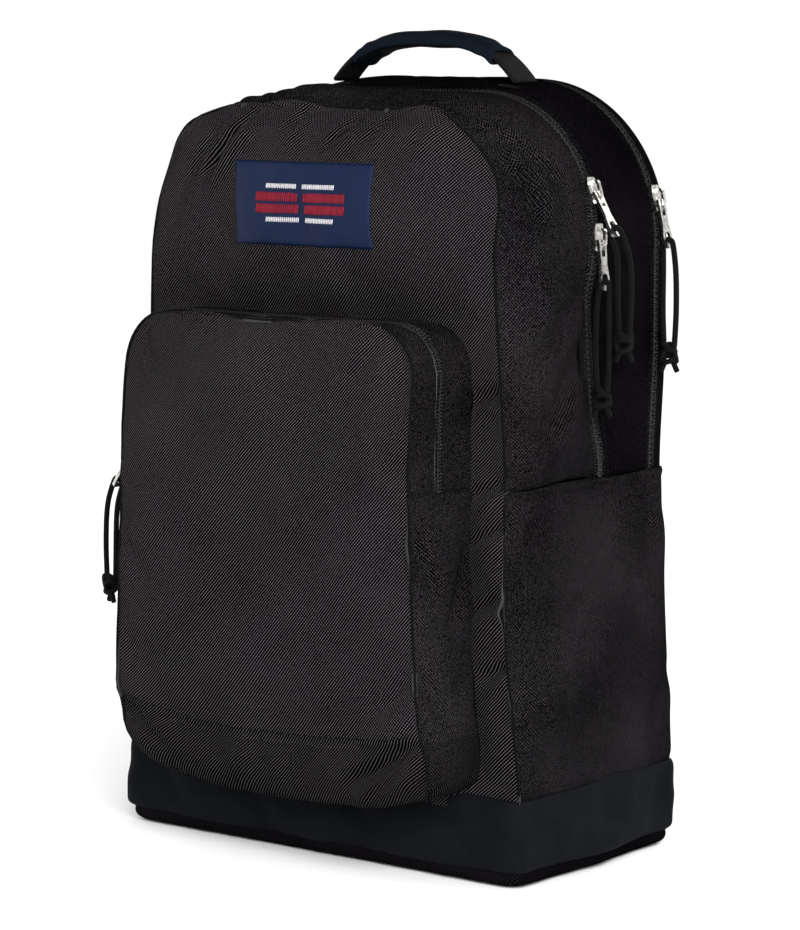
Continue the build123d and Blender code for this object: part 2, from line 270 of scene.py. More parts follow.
def tree_of(*objs):
    """A search tree over the faces of some objects."""
    verts = []
    faces = []
    for obj in objs:
        base = len(verts)
        verts += [v.co.copy() for v in obj.data.vertices]
        faces += [tuple(base + i for i in p.vertices) for p in obj.data.polygons]
    return BVHTree.FromPolygons(verts, faces)


def stitch_row(bits, points, tree, lift=0.0001, pitch=0.0042, stitch=0.0028, width=0.0008):
    """A row of sewing stitches that lies on the nearest surface."""
    places, ways = along_path(points, pitch, pitch / 2)
    for place, way in zip(places, ways):
        hit, normal, _, _ = tree.find_nearest(Vector(place))
        if hit is None:
            continue
        capsule(bits, hit + normal * lift, way, normal, stitch, width, width * 0.9)


# ---- the main body's form ----
def corner(y):
    """Radius of the body's corners at a depth y."""
    share = (y - FRONT_Y) / (BACK_Y - FRONT_Y)
    return FRONT_CORNER + (BACK_CORNER - FRONT_CORNER) * share


def top(y):
    """Height of the body at a depth y."""
    share = (y - FRONT_Y) / (BACK_Y - FRONT_Y)
    return FRONT_TOP + (BACK_TOP - FRONT_TOP) * share


LOW_ROWS = 32
HIGH_ROWS = 26
ARC_ROWS = 14
TOP_COLUMNS = 46


def left_edge(y, inset=0.0, low=SKIRT):
    """Left half of the arch outline at depth y, from the base up to where the top runs level."""
    radius = corner(y) - inset
    height = top(y) - inset
    half = HALF - inset
    spring = height - radius
    below = np.linspace(low, SEAM_Z, LOW_ROWS + 1)
    above = np.linspace(SEAM_Z, spring, HIGH_ROWS + 1)[1:]
    turns = np.linspace(0, pi / 2, ARC_ROWS + 1)[1:]
    straight = [(-half, z) for z in np.concatenate([below, above])]
    curve = [(-half + radius - radius * cos(t), spring + radius * sin(t)) for t in turns]
    return np.array(straight + curve)


def arch_line(y, inset=0.0, first=0):
    """Whole arch outline at depth y as 3-D points, starting at row first of the left side."""
    left = left_edge(y, inset)
    level = np.linspace(left[-1, 0], -left[-1, 0], TOP_COLUMNS + 1)[1:-1]
    right = left[::-1] * (-1, 1)
    rows = [(x, y, z) for x, z in left[first:]]
    rows += [(x, y, left[-1, 1]) for x in level]
    rows += [(x, y, z) for x, z in right[: len(right) - first]]
    return np.array(rows)


def arch_out(y, first=0):
    """Outward directions that go with arch_line."""
    inner = arch_line(y, 0.01, first)
    outer = arch_line(y, 0.0, first)
    out = outer - inner
    return out / np.linalg.norm(out, axis=1)[:, None]


SEAM_ROW = LOW_ROWS


def flare(co):
    """The stance: a wider base, a drawn-in side seam, a narrower top that leans back, zip valleys."""
    co = np.array(co, float)
    x, y, z = co[:, 0].copy(), co[:, 1].copy(), co[:, 2].copy()
    edge = np.sign(x) * np.clip((np.abs(x) - 0.05) / (HALF - 0.05), 0, 1) ** 2
    low = 1 - smooth_step(0.02, 0.17, z)
    rear = 1 - 0.5 * smooth_step(-0.02, 0.08, y)
    co[:, 0] += edge * low * rear * 0.0135
    co[:, 1] -= (1 - smooth_step(0.01, 0.07, z)) * (1 - smooth_step(-0.08, -0.03, y)) * 0.004
    waist = bell(z - SEAM_Z, 0.05) * smooth_step(-0.03, 0.07, y)
    co[:, 0] -= edge * waist * 0.0035
    front = 1 - smooth_step(-0.08, -0.006, y)
    spread = np.sign(x) * np.abs(x) / HALF
    co[:, 0] -= spread * smooth_step(0.22, 0.39, z) * front * 0.0085
    rim = np.maximum((np.abs(x) / 0.135) ** 3, smooth_step(0.435, 0.452, z))
    co[:, 1] += 0.010 * smooth_step(0.365, 0.42, z) * front * np.minimum(rim, 1.0)
    slot = smooth_step(SEAM_Z + 0.004, SEAM_Z + 0.05, z) * (1 - smooth_step(0.335, 0.365, z))
    valley = bell(y - ZIP_Y - 0.001, 0.010) * slot * (np.abs(x) > 0.1)
    co[:, 0] -= edge * valley * 0.0065
    low_zip = (1 - smooth_step(SEAM_Z, 0.36, z)) * smooth_step(0.15, SEAM_Z, z)
    co[:, 1] += 0.009 * low_zip * bell(y - ZIP_Y - 0.004, 0.03)
    return co


def lay_weave(obj, panel, rim=(), line=None, axes=(0, 2)):
    """Mark each face corner with its place in the flat cloth, and 1 for a front or 2 for a side or gusset.

    The first vertices, panel of them, are a flat panel. The rest are rings of a gusset that runs along line,
    and rim holds the panel's vertices where the gusset starts.
    """
    rest = coords(obj)
    order = {index: k for k, index in enumerate(rim)}
    arc = [0.0]
    if line is not None:
        arc = np.concatenate([[0], np.cumsum(np.linalg.norm(np.diff(line, axis=0), axis=1))])
    weave = obj.data.attributes.new("weave", "FLOAT_VECTOR", "CORNER")
    for polygon in obj.data.polygons:
        flat = all(index < panel for index in polygon.vertices)
        for corner_index, index in zip(polygon.loop_indices, polygon.vertices):
            if flat:
                place = (rest[index, axes[0]], rest[index, axes[1]], 1.0 + axes[0])
            else:
                k = order[index] if index in order else (index - panel) % len(arc)
                place = (rest[index, 1], arc[k], 2.0)
            weave.data[corner_index].vector = place


def grid_faces(rows, columns):
    """Quads between points that are laid out in rows and columns."""
    faces = []
    for i in range(rows - 1):
        for j in range(columns - 1):
            a = i * columns + j
            faces.append((a, a + 1, a + columns + 1, a + columns))
    return faces


# ---- cloth simulation ----
def inflate(obj, held, pressure=4.0, slack=0.012, cap=0.010, bend=1.2, quality=7):
    """Puff a skin with Blender's cloth between its held points, cap how far it moves, apply it."""
    start = coords(obj)
    group = obj.vertex_groups.new(name="held")
    for index, weight in enumerate(held):
        group.add([index], float(weight), "REPLACE")
    modifier = obj.modifiers.new("cloth", "CLOTH")
    settings = modifier.settings
    settings.quality = quality
    settings.mass = 0.25
    settings.tension_stiffness = 18
    settings.compression_stiffness = 14
    settings.shear_stiffness = 8
    settings.bending_stiffness = bend
    settings.air_damping = 3
    settings.vertex_group_mass = "held"
    settings.pin_stiffness = 1.0
    settings.shrink_min = -slack
    settings.shrink_max = -slack
    settings.use_pressure = True
    settings.uniform_pressure_force = pressure
    settings.effector_weights.gravity = 0
    modifier.collision_settings.use_self_collision = False
    scene = bpy.context.scene
    modifier.point_cache.frame_start = 1
    modifier.point_cache.frame_end = 20
    for step in range(1, 21):
        scene.frame_set(step)
    graph = bpy.context.evaluated_depsgraph_get()
    puffed = obj.evaluated_get(graph)
    moved = np.empty(len(start) * 3)
    puffed.data.vertices.foreach_get("co", moved)
    moved = moved.reshape(-1, 3) - start
    obj.modifiers.clear()
    obj.vertex_groups.clear()
    scene.frame_set(1)
    far = np.linalg.norm(moved, axis=1)
    share = np.where(far > 1e-9, cap * np.tanh(far / cap) / np.maximum(far, 1e-9), 1.0)
    set_coords(obj, start + moved * share[:, None])
    return obj


def push(obj, amount):
    """Move each point along its normal by amount."""
    set_coords(obj, coords(obj) + normals(obj) * np.asarray(amount)[:, None])


def rumple(co, seed, size, height):
    """Gentle unevenness of soft cloth: waves of several lengths in mixed directions."""
    random = np.random.default_rng(seed)
    total = np.zeros(len(co))
    for _ in range(14):
        way = random.normal(size=3)
        way /= np.linalg.norm(way)
        length = size * random.uniform(0.55, 1.6)
        total += np.sin(2 * pi * (co @ way) / length + random.uniform(0, 2 * pi)) * random.uniform(0.5, 1.0)
    return total * height / 3.0


def fold(co, start, end, width, depth, ridge=0.5):
    """Height of a fold from start to end, in the plane of the two columns of co, with a ridge beside it."""
    a = np.array(start, float)
    b = np.array(end, float)
    way = b - a
    length = np.linalg.norm(way)
    way /= length
    rel = co - a
    along = rel @ way
    across = rel @ np.array([-way[1], way[0]])
    ends = smooth_step(-0.15 * length, 0.2 * length, along)
    ends = ends * (1 - smooth_step(0.75 * length, 1.1 * length, along))
    return ends * (-depth * bell(across, width) + ridge * depth * bell(across - 2.1 * width, 1.3 * width))


def folds(co, rows):
    """Several folds together: each row is a fold's start, end, width, depth and, where given, ridge."""
    return sum(fold(co, *row) for row in rows)


# ---- materials ----
def node_material(name):
    """A new material, its node tree and its main shader."""
    material = bpy.data.materials.new(name)
    material.use_nodes = True
    tree = material.node_tree
    shader = tree.nodes["Principled BSDF"]
    return material, tree, shader


def math_node(tree, operation, *values, clamp=False):
    """Add a math node and give back its output."""
    node = tree.nodes.new("ShaderNodeMath")
    node.operation = operation
    node.use_clamp = clamp
    for index, value in enumerate(values):
        if isinstance(value, (int, float)):
            node.inputs[index].default_value = value
        else:
            tree.links.new(value, node.inputs[index])
    return node.outputs[0]


def surface_axes(tree):
    """Place, two coordinates in metres that lie in the surface, and whether the cloth is a side or gusset.

    They come from the mesh's laid weave, or, where it has none, from the way that the surface faces.
    """
    place = tree.nodes.new("ShaderNodeTexCoord").outputs["Object"]
    split = tree.nodes.new("ShaderNodeSeparateXYZ")
    tree.links.new(place, split.inputs[0])
    geometry = tree.nodes.new("ShaderNodeNewGeometry")
    turn = tree.nodes.new("ShaderNodeVectorTransform")
    turn.vector_type = "NORMAL"
    turn.convert_from = "WORLD"
    turn.convert_to = "OBJECT"
    tree.links.new(geometry.outputs["Normal"], turn.inputs[0])
    facing = tree.nodes.new("ShaderNodeSeparateXYZ")
    tree.links.new(turn.outputs[0], facing.inputs[0])
    nx = math_node(tree, "ABSOLUTE", facing.outputs[0])
    ny = math_node(tree, "ABSOLUTE", facing.outputs[1])
    nz = math_node(tree, "ABSOLUTE", facing.outputs[2])
    side = math_node(tree, "GREATER_THAN", nx, math_node(tree, "MAXIMUM", ny, nz))
    level = math_node(tree, "GREATER_THAN", nz, math_node(tree, "MAXIMUM", nx, ny))

    def pick(first, second, choose):
        mix = tree.nodes.new("ShaderNodeMix")
        tree.links.new(choose, mix.inputs[0])
        tree.links.new(first, mix.inputs[2])
        tree.links.new(second, mix.inputs[3])
        return mix.outputs[0]

    laid = tree.nodes.new("ShaderNodeAttribute")
    laid.attribute_name = "weave"
    flat = tree.nodes.new("ShaderNodeSeparateXYZ")
    tree.links.new(laid.outputs["Vector"], flat.inputs[0])
    marked = math_node(tree, "GREATER_THAN", flat.outputs[2], 0.5)
    across = pick(pick(split.outputs[0], split.outputs[1], side), flat.outputs[0], marked)
    upward = pick(pick(split.outputs[2], split.outputs[1], level), flat.outputs[1], marked)
    side = pick(side, math_node(tree, "GREATER_THAN", flat.outputs[2], 1.5), marked)
    return place, across, upward, side


def noise(tree, place, scale, detail=3.0, roughness=0.5):
    """Add a noise texture and give back its value."""
    node = tree.nodes.new("ShaderNodeTexNoise")
    node.inputs["Scale"].default_value = scale
    node.inputs["Detail"].default_value = detail
    node.inputs["Roughness"].default_value = roughness
    tree.links.new(place, node.inputs["Vector"])
    return node.outputs["Fac"]


def ramp(tree, factor, stops):
    """Turn a value into a colour."""
    node = tree.nodes.new("ShaderNodeValToRGB")
    tree.links.new(factor, node.inputs[0])
    elements = node.color_ramp.elements
    while len(elements) < len(stops):
        elements.new(0.5)
    for element, (place, colour) in zip(elements, stops):
        element.position = place
        element.color = (*colour, 1)
    return node.outputs[0]


def bump(tree, shader, height, distance, strength=1.0):
    """Turn a height into relief."""
    node = tree.nodes.new("ShaderNodeBump")
    node.inputs["Strength"].default_value = strength
    node.inputs["Distance"].default_value = distance
    tree.links.new(height, node.inputs["Height"])
    tree.links.new(node.outputs[0], shader.inputs["Normal"])


def woven(name, pitch, dark, light, relief, rough, specular=0.0, slant=0.0, spread=0.5, diagonal=0.0):
    """Basket weave: over and under yarns in a chequer that reads as fine diagonal lines, with uneven yarns.

    pitch is the yarns' spacing in metres, spread how far the under yarns drop, slant how far the rows lean,
    and diagonal how much of the height goes to diagonal ridges. The colour follows that height: the yarn
    tops are painted lighter as painted highlights and the gaps between yarns darker as painted shade,
    over the yarns' real fleck and patchy tone.
    """
    material, tree, shader = node_material(name)
    place, across, upward, side = surface_axes(tree)
    wander = noise(tree, place, 90.0, 2.0)
    drift = math_node(tree, "MULTIPLY", math_node(tree, "SUBTRACT", wander, 0.5), pitch * 0.9)
    a = math_node(tree, "DIVIDE", math_node(tree, "ADD", across, drift), pitch)
    b = math_node(tree, "DIVIDE", math_node(tree, "ADD", upward, drift), pitch)
    if slant:
        b = math_node(tree, "ADD", b, math_node(tree, "MULTIPLY", a, slant))
    cell = math_node(tree, "ADD", math_node(tree, "FLOOR", a), math_node(tree, "FLOOR", b))
    over = math_node(tree, "FLOORED_MODULO", cell, 2.0)
    wave_a = math_node(tree, "ABSOLUTE", math_node(tree, "SINE", math_node(tree, "MULTIPLY", a, pi)))
    wave_b = math_node(tree, "ABSOLUTE", math_node(tree, "SINE", math_node(tree, "MULTIPLY", b, pi)))
    yarn = math_node(tree, "MULTIPLY", wave_a, wave_b)
    yarn = math_node(tree, "POWER", yarn, 0.6)
    lift = math_node(tree, "ADD", math_node(tree, "MULTIPLY", over, spread), 1 - spread)
    mirrored = math_node(tree, "SUBTRACT", math_node(tree, "MULTIPLY", side, 2.0), 1.0)
    turned = math_node(tree, "MULTIPLY", b, mirrored)
    slope = math_node(tree, "MULTIPLY", math_node(tree, "ADD", a, turned), pi / 2)
    ridge = math_node(tree, "POWER", math_node(tree, "ABSOLUTE", math_node(tree, "SINE", slope)), 5.0)
    height = math_node(tree, "MULTIPLY", yarn, lift)
    chequer = math_node(tree, "MULTIPLY", height, 1 - diagonal)
    height = math_node(tree, "ADD", chequer, math_node(tree, "MULTIPLY", ridge, diagonal))
    fleck = noise(tree, place, 900.0, 2.0)
    patch = noise(tree, place, 14.0, 3.0)
    flecked = math_node(tree, "ADD", math_node(tree, "MULTIPLY", fleck, 1.1), 0.4)
    patched = math_node(tree, "ADD", math_node(tree, "MULTIPLY", patch, 0.5), 0.75)
    tone = math_node(tree, "MULTIPLY", math_node(tree, "MULTIPLY", height, flecked), patched)
    # colour from the yarns' height: painted highlight on the yarn tops and painted shade in the gaps between
    # yarns; fleck and patch add the yarns' real uneven tone
    colour = ramp(tree, tone, ((0.34, dark), (0.72, light)))
    tree.links.new(colour, shader.inputs["Base Color"])
    shader.inputs["Roughness"].default_value = rough
    shader.inputs["Specular IOR Level"].default_value = specular
    bump(tree, shader, height, relief)
    return material


def suede(name, dark, light, sheen=0.25):
    """Short nap, unevenly brushed."""
    material, tree, shader = node_material(name)
    place = tree.nodes.new("ShaderNodeTexCoord").outputs["Object"]
    nap = noise(tree, place, 1400.0, 4.0, 0.7)
    brushed = noise(tree, place, 38.0, 5.0, 0.6)
    fine = math_node(tree, "MULTIPLY", nap, 0.45)
    tone = math_node(tree, "ADD", fine, math_node(tree, "MULTIPLY", brushed, 0.55))
    colour = ramp(tree, tone, ((0.3, dark), (0.72, light)))
    tree.links.new(colour, shader.inputs["Base Color"])
    rough = math_node(tree, "ADD", math_node(tree, "MULTIPLY", brushed, 0.2), 0.72)
    tree.links.new(rough, shader.inputs["Roughness"])
    shader.inputs["Specular IOR Level"].default_value = 0.05
    shader.inputs["Sheen Weight"].default_value = sheen
    shader.inputs["Sheen Roughness"].default_value = 0.55
    bump(tree, shader, nap, 0.00035, 0.8)
    return material


def ribbed(name, pitch, dark, light, along="across", relief=0.0004, rough=0.7):
    """Narrow ribs, as on webbing, zip tape or braided cord."""
    material, tree, shader = node_material(name)
    place, across, upward, _ = surface_axes(tree)
    a = math_node(tree, "DIVIDE", across, pitch)
    b = math_node(tree, "DIVIDE", upward, pitch)
    if along == "both":
        first = math_node(tree, "SINE", math_node(tree, "MULTIPLY", math_node(tree, "ADD", a, b), pi))
        second = math_node(tree, "SINE", math_node(tree, "MULTIPLY", math_node(tree, "SUBTRACT", a, b), pi))
        ribs = math_node(tree, "ABSOLUTE", math_node(tree, "MULTIPLY", first, second))
    else:
        chosen = a if along == "across" else b
        ribs = math_node(tree, "ABSOLUTE", math_node(tree, "SINE", math_node(tree, "MULTIPLY", chosen, pi)))
    fleck = noise(tree, place, 1100.0, 2.0)
    flecked = math_node(tree, "ADD", math_node(tree, "MULTIPLY", fleck, 0.8), 0.5)
    tone = math_node(tree, "MULTIPLY", ribs, flecked)
    # colour follows the ribs' height: painted highlight on the rib tops and painted shade in the grooves;
    # the fleck is the yarn's real uneven tone
    colour = ramp(tree, tone, ((0.1, dark), (1.0, light)))
    tree.links.new(colour, shader.inputs["Base Color"])
    shader.inputs["Roughness"].default_value = rough
    shader.inputs["Specular IOR Level"].default_value = 0.06
    bump(tree, shader, ribs, relief)
    return material


def moulded(name, colour, rough=0.45):
    """Moulded plastic with a slightly uneven tone."""
    material, tree, shader = node_material(name)
    place = tree.nodes.new("ShaderNodeTexCoord").outputs["Object"]
    grain = noise(tree, place, 1800.0, 3.0)
    shade = noise(tree, place, 60.0, 3.0)
    dark = tuple(c * 0.75 for c in colour)
    light = tuple(c * 1.3 for c in colour)
    tree.links.new(ramp(tree, shade, ((0.3, dark), (0.7, light))), shader.inputs["Base Color"])
    uneven = math_node(tree, "ADD", math_node(tree, "MULTIPLY", shade, 0.2), rough - 0.1)
    tree.links.new(uneven, shader.inputs["Roughness"])
    bump(tree, shader, grain, 0.0001, 0.5)
    return material


def plated_metal(name):
    """Plated metal, a little worn and scratched."""
    material, tree, shader = node_material(name)
    place = tree.nodes.new("ShaderNodeTexCoord").outputs["Object"]
    worn = noise(tree, place, 420.0, 5.0, 0.65)
    scratch = noise(tree, place, 1500.0, 2.0)
    colour = ramp(tree, worn, ((0.35, (0.30, 0.29, 0.27)), (0.6, (0.62, 0.61, 0.59))))
    tree.links.new(colour, shader.inputs["Base Color"])
    shader.inputs["Metallic"].default_value = 1.0
    rough = math_node(tree, "ADD", math_node(tree, "MULTIPLY", worn, 0.28), 0.12)
    tree.links.new(rough, shader.inputs["Roughness"])
    bump(tree, shader, scratch, 0.00006, 0.5)
    return material


BLACK_YARN = (0.0004, 0.0003, 0.0005)
SHELL_PITCH = 0.00104
# the shell cloth has no specular reflection: the highlights on its yarns are painted into its colour
CLOTH = woven(
    "shell_cloth", SHELL_PITCH, BLACK_YARN, (0.070, 0.063, 0.069), 0.0004, 0.85, spread=0.95, diagonal=0.5
)
# painted shade: a darker copy of the shell cloth for the rear gusset, the rim behind the rear zip and the
# bag's bottom, standing in for the shade these faces get
REAR_CLOTH_PAINTED_SHADE = woven(
    "rear_cloth_painted_shade", SHELL_PITCH, BLACK_YARN, (0.019, 0.016, 0.019), 0.0003, 0.85, spread=0.8, diagonal=0.4
)
# painted shade: a darker copy of the shell cloth for the pocket's bottom band
BAND_CLOTH_PAINTED_SHADE = woven(
    "band_cloth_painted_shade", SHELL_PITCH, BLACK_YARN, (0.050, 0.045, 0.049), 0.0004, 0.85, spread=0.95, diagonal=0.6
)
LINING = woven(
    "lining_cloth", 0.0006, (0.012, 0.012, 0.013), (0.03, 0.03, 0.032), 0.0001, 0.6, specular=0.2, spread=0.4
)
SPACER = woven(
    "spacer_mesh", 0.0022, (0.0015,) * 3, (0.035, 0.035, 0.037), 0.0010, 0.8, specular=0.12, spread=0.6
)
LABEL_DARK = (0.0014, 0.005, 0.022)
LABEL_LIGHT = (0.006, 0.0145, 0.052)
LABEL = woven("label_satin", 0.0006, LABEL_DARK, LABEL_LIGHT, 0.0001, 0.5, specular=0.1, slant=0.35)
SUEDE = suede("base_suede", (0.0012, 0.0016, 0.0022), (0.0052, 0.0060, 0.0078), 0.0)
GRIP_SUEDE = suede("grip_suede", (0.002, 0.0042, 0.0075), (0.0055, 0.009, 0.0155), 0.0)
TAPE = ribbed("zip_tape", 0.0012, (0.0005, 0.0005, 0.0005), (0.0035, 0.0034, 0.0036), "both", 0.0002)
WEBBING = ribbed("webbing_ribs", 0.0017, (0.001, 0.001, 0.001), (0.022, 0.021, 0.022), "both", 0.0005)
BRAID = ribbed("braided_cord", 0.0016, (0.0006, 0.0006, 0.0006), (0.011, 0.0105, 0.011), "both", 0.0005)
THREAD = ribbed("sewing_thread", 0.0005, (0.001, 0.001, 0.001), (0.007, 0.007, 0.0072), "both", 0.0001)
NAVY_THREAD = ribbed("label_thread", 0.0005, (0.002, 0.005, 0.02), (0.008, 0.014, 0.045), "both", 0.0001)
PALE_THREAD = ribbed("emblem_thread", 0.0005, (0.25, 0.25, 0.27), (0.55, 0.55, 0.57), "across", 0.0001)
RED_THREAD = ribbed("emblem_red_thread", 0.0005, (0.09, 0.006, 0.012), (0.22, 0.016, 0.03), "across", 0.0001)
TEETH = moulded("nylon_teeth", (0.004, 0.004, 0.0042), 0.55)
BUCKLE = moulded("buckle_acetal", (0.008, 0.008, 0.0085), 0.5)
BOARD = moulded("base_board", (0.012, 0.012, 0.012), 0.7)
METAL = plated_metal("slider_metal")


# ---- main body skins ----
def lid_skin():
    """Front panel and the front gusset above the side seam, sewn along the front seam."""
    left = left_edge(FRONT_Y)
    rows = len(left)
    columns = TOP_COLUMNS + 1
    verts = []
    for x, z in left:
        for j in range(columns):
            share = -1 + 2 * j / TOP_COLUMNS
            crown = (1 - share**2) ** 0.7 * smooth_step(LID_Z - 0.01, LID_Z + 0.05, z)
            crown *= 1 - 0.75 * smooth_step(FRONT_TOP - 0.06, FRONT_TOP, z)
            verts.append((-x * share, FRONT_Y - 0.013 * crown, z))
    faces = grid_faces(rows, columns)
    rim = [i * columns for i in range(SEAM_ROW, rows)]
    rim += [(rows - 1) * columns + j for j in range(1, columns - 1)]
    rim += [i * columns + columns - 1 for i in range(rows - 1, SEAM_ROW - 1, -1)]
    depths = np.linspace(FRONT_Y, ZIP_Y - RIM + 0.0004, 17)[1:]
    previous = rim
    for y in depths:
        line = arch_line(y, 0.0, SEAM_ROW)
        share = (y - FRONT_Y) / (depths[-1] - FRONT_Y)
        line = line + arch_out(y, SEAM_ROW) * (0.003 * sin(pi * share))
        base = len(verts)
        verts += [tuple(p) for p in line]
        current = list(range(base, base + len(line)))
        for k in range(len(line) - 1):
            faces.append((previous[k], current[k], current[k + 1], previous[k + 1]))
        previous = current
    obj = new_mesh("front_panel_cloth", verts, faces, [CLOTH, LINING])
    outward(obj, (0, 0, 0.25))
    lay_weave(obj, rows * columns, rim, arch_line(FRONT_Y, 0.0, SEAM_ROW))
    co = coords(obj)
    held = np.zeros(len(co))
    seam = np.zeros(len(co), bool)
    seam[rim] = True
    seam[[i * columns for i in range(SEAM_ROW)]] = True
    seam[[i * columns + columns - 1 for i in range(SEAM_ROW)]] = True
    held[seam] = 0.93
    held[previous] = 1.0
    on_panel = np.arange(len(co)) < rows * columns
    behind_pocket = on_panel & (np.abs(co[:, 0]) < POCKET_HALF + 0.001) & (co[:, 2] < POCKET_TOP + 0.001)
    held[behind_pocket] = 0.97
    held[co[:, 2] < SKIRT + 0.004] = 1.0
    gusset_foot = ~on_panel & (co[:, 2] < SEAM_Z + 0.001)
    held[gusset_foot] = 1.0
    inflate(obj, held, pressure=3.4, slack=0.02, cap=0.010)
    subdivide(obj)
    return obj


def panel_folds(obj):
    """Creases of the front panel and its gusset, and the strip beside the pocket."""
    co = coords(obj)
    front = co[:, 1] < FRONT_Y + 0.004
    flat = co[:, [0, 2]]
    amount = folds(
        flat,
        (
            ((-0.052, 0.448), (-0.092, 0.408), 0.0045, 0.0042),
            ((-0.085, 0.44), (-0.112, 0.40), 0.004, 0.0018),
            ((0.035, 0.449), (0.015, 0.428), 0.0035, 0.0022),
            ((0.06, 0.449), (0.045, 0.431), 0.003, 0.0018),
            ((0.09, 0.446), (0.08, 0.425), 0.003, 0.0015),
            ((-0.01, 0.449), (-0.02, 0.434), 0.003, 0.0014),
        ),
    )
    for height, reach in ((0.238, 0.010), (0.212, 0.012), (0.172, 0.014), (0.13, 0.010), (0.29, 0.008)):
        amount += fold(flat, (HALF - 0.001, height), (HALF - 0.024, height - reach), 0.0035, 0.0026)
        amount += fold(flat, (-HALF + 0.001, height), (-HALF + 0.024, height - reach), 0.0035, 0.0022)
    amount = np.where(front, amount * 1.7, 0.0)
    gusset = ~front
    depth = co[:, 1]
    seam_dip = bell(depth - (FRONT_Y + 0.004), 0.0028) * -0.0012
    angle = np.arctan2(co[:, 2] - 0.38, np.abs(co[:, 0]) - 0.07)
    cross_seam = bell((angle - 0.93) * 0.07, 0.0016) * -0.0014 * (depth < FRONT_Y + 0.05)
    pucker = 0.0018 * np.sin(angle * 34 + depth * 40) * bell(depth - FRONT_Y - 0.016, 0.014) * (angle > 0.1)
    amount += np.where(gusset, seam_dip + cross_seam + pucker, 0.0)
    sides = co[:, [1, 2]]
    on_side = gusset & (np.abs(co[:, 0]) > 0.10)
    creases = folds(
        sides,
        (
            ((-0.072, 0.425), (-0.048, 0.385), 0.0055, 0.0045),
            ((-0.060, 0.432), (-0.025, 0.405), 0.0045, 0.0028),
            ((-0.015, 0.300), (-0.050, 0.262), 0.0080, 0.0036),
            ((-0.010, 0.345), (-0.040, 0.315), 0.0070, 0.0022),
        ),
    )
    amount += np.where(on_side, creases * 1.4, 0.0)
    away = smooth_step(0.0, 0.006, np.abs(depth - ZIP_Y + RIM))
    away = away * smooth_step(0.0, 0.006, np.abs(depth - FRONT_Y) + np.where(front, 0.006, 0.0))
    label_room = 1 - 0.8 * bell(co[:, 0], 0.06) * bell(co[:, 2] - 0.395, 0.035)
    amount += rumple(co, 3, 0.070, 0.0024) * away * label_room
    push(obj, amount)


def side_skin(side):
    """Lower side panel from the suede up to the side seam."""
    rows, columns = 34, 30
    verts = []
    for i in range(rows):
        z = SKIRT + (SEAM_Z - SKIRT) * i / (rows - 1)
        for j in range(columns):
            y = FRONT_Y + (BACK_Y - FRONT_Y) * j / (columns - 1)
            bow = sin(pi * j / (columns - 1)) * sin(pi * min(1.0, (i + 2) / (rows + 1)))
            verts.append((side * (HALF + 0.003 * bow), y, z))
    part_name = "right" if side > 0 else "left"
    obj = new_mesh(f"side_panel_cloth_{part_name}", verts, grid_faces(rows, columns), [CLOTH, LINING])
    outward(obj, (0, 0, 0.15))
    lay_weave(obj, rows * columns, axes=(1, 2))
    co = coords(obj)
    held = np.zeros(len(co))
    edge = (co[:, 1] < FRONT_Y + 0.001) | (co[:, 1] > BACK_Y - 0.001)
    held[edge] = 0.96
    held[(co[:, 2] > SEAM_Z - 0.001) | (co[:, 2] < SKIRT + 0.004)] = 1.0
    inflate(obj, held, pressure=3.0, slack=0.012, cap=0.007)
    subdivide(obj)
    co = coords(obj)
    flat = co[:, [1, 2]]
    amount = folds(
        flat,
        (
            ((-0.076, 0.225), (-0.045, 0.20), 0.004, 0.0016),
            ((-0.078, 0.12), (-0.05, 0.085), 0.005, 0.0014),
            ((0.074, 0.21), (0.05, 0.16), 0.006, 0.0018),
            ((0.078, 0.11), (0.045, 0.07), 0.006, 0.0014),
        ),
    )
    amount += bell(co[:, 2] - (SEAM_Z - 0.0025), 0.0016) * 0.0007
    inside = smooth_step(0, 0.012, co[:, 1] - FRONT_Y) * smooth_step(0, 0.012, BACK_Y - co[:, 1])
    inside = inside * smooth_step(0, 0.012, SEAM_Z - co[:, 2]) * smooth_step(0.056, 0.07, co[:, 2])
    amount = amount * 1.5 + rumple(co, 5, 0.070, 0.0022) * inside
    amount -= 0.0016 * (1 - smooth_step(0.050, 0.060, co[:, 2]))
    push(obj, amount)
    return obj


def rear_skin():
    """Rear gusset between the two zips, above the side seam."""
    depths = np.linspace(ZIP_Y + RIM - 0.0004, REAR_ZIP_Y - REAR_RIM + 0.0004, 11)
    verts = []
    for y in depths:
        share = (y - depths[0]) / (depths[-1] - depths[0])
        out = arch_out(y, SEAM_ROW) * (0.0025 * sin(pi * share) + 0.0008)
        verts += [tuple(p) for p in arch_line(y, 0.0, SEAM_ROW) + out]
    columns = len(verts) // len(depths)
    # the rear gusset wears the darker copy of the shell cloth, whose darkness is painted shade
    obj = new_mesh("rear_gusset_cloth", verts, grid_faces(len(depths), columns), [REAR_CLOTH_PAINTED_SHADE, LINING])
    outward(obj, (0, 0, 0.3))
    lay_weave(obj, 0, line=np.array(verts[:columns]))
    co = coords(obj)
    held = np.zeros(len(co))
    held[:columns] = 1.0
    held[-columns:] = 1.0
    held[co[:, 2] < SEAM_Z + 0.001] = 1.0
    inflate(obj, held, pressure=3.0, slack=0.015, cap=0.006)
    subdivide(obj)
    return obj


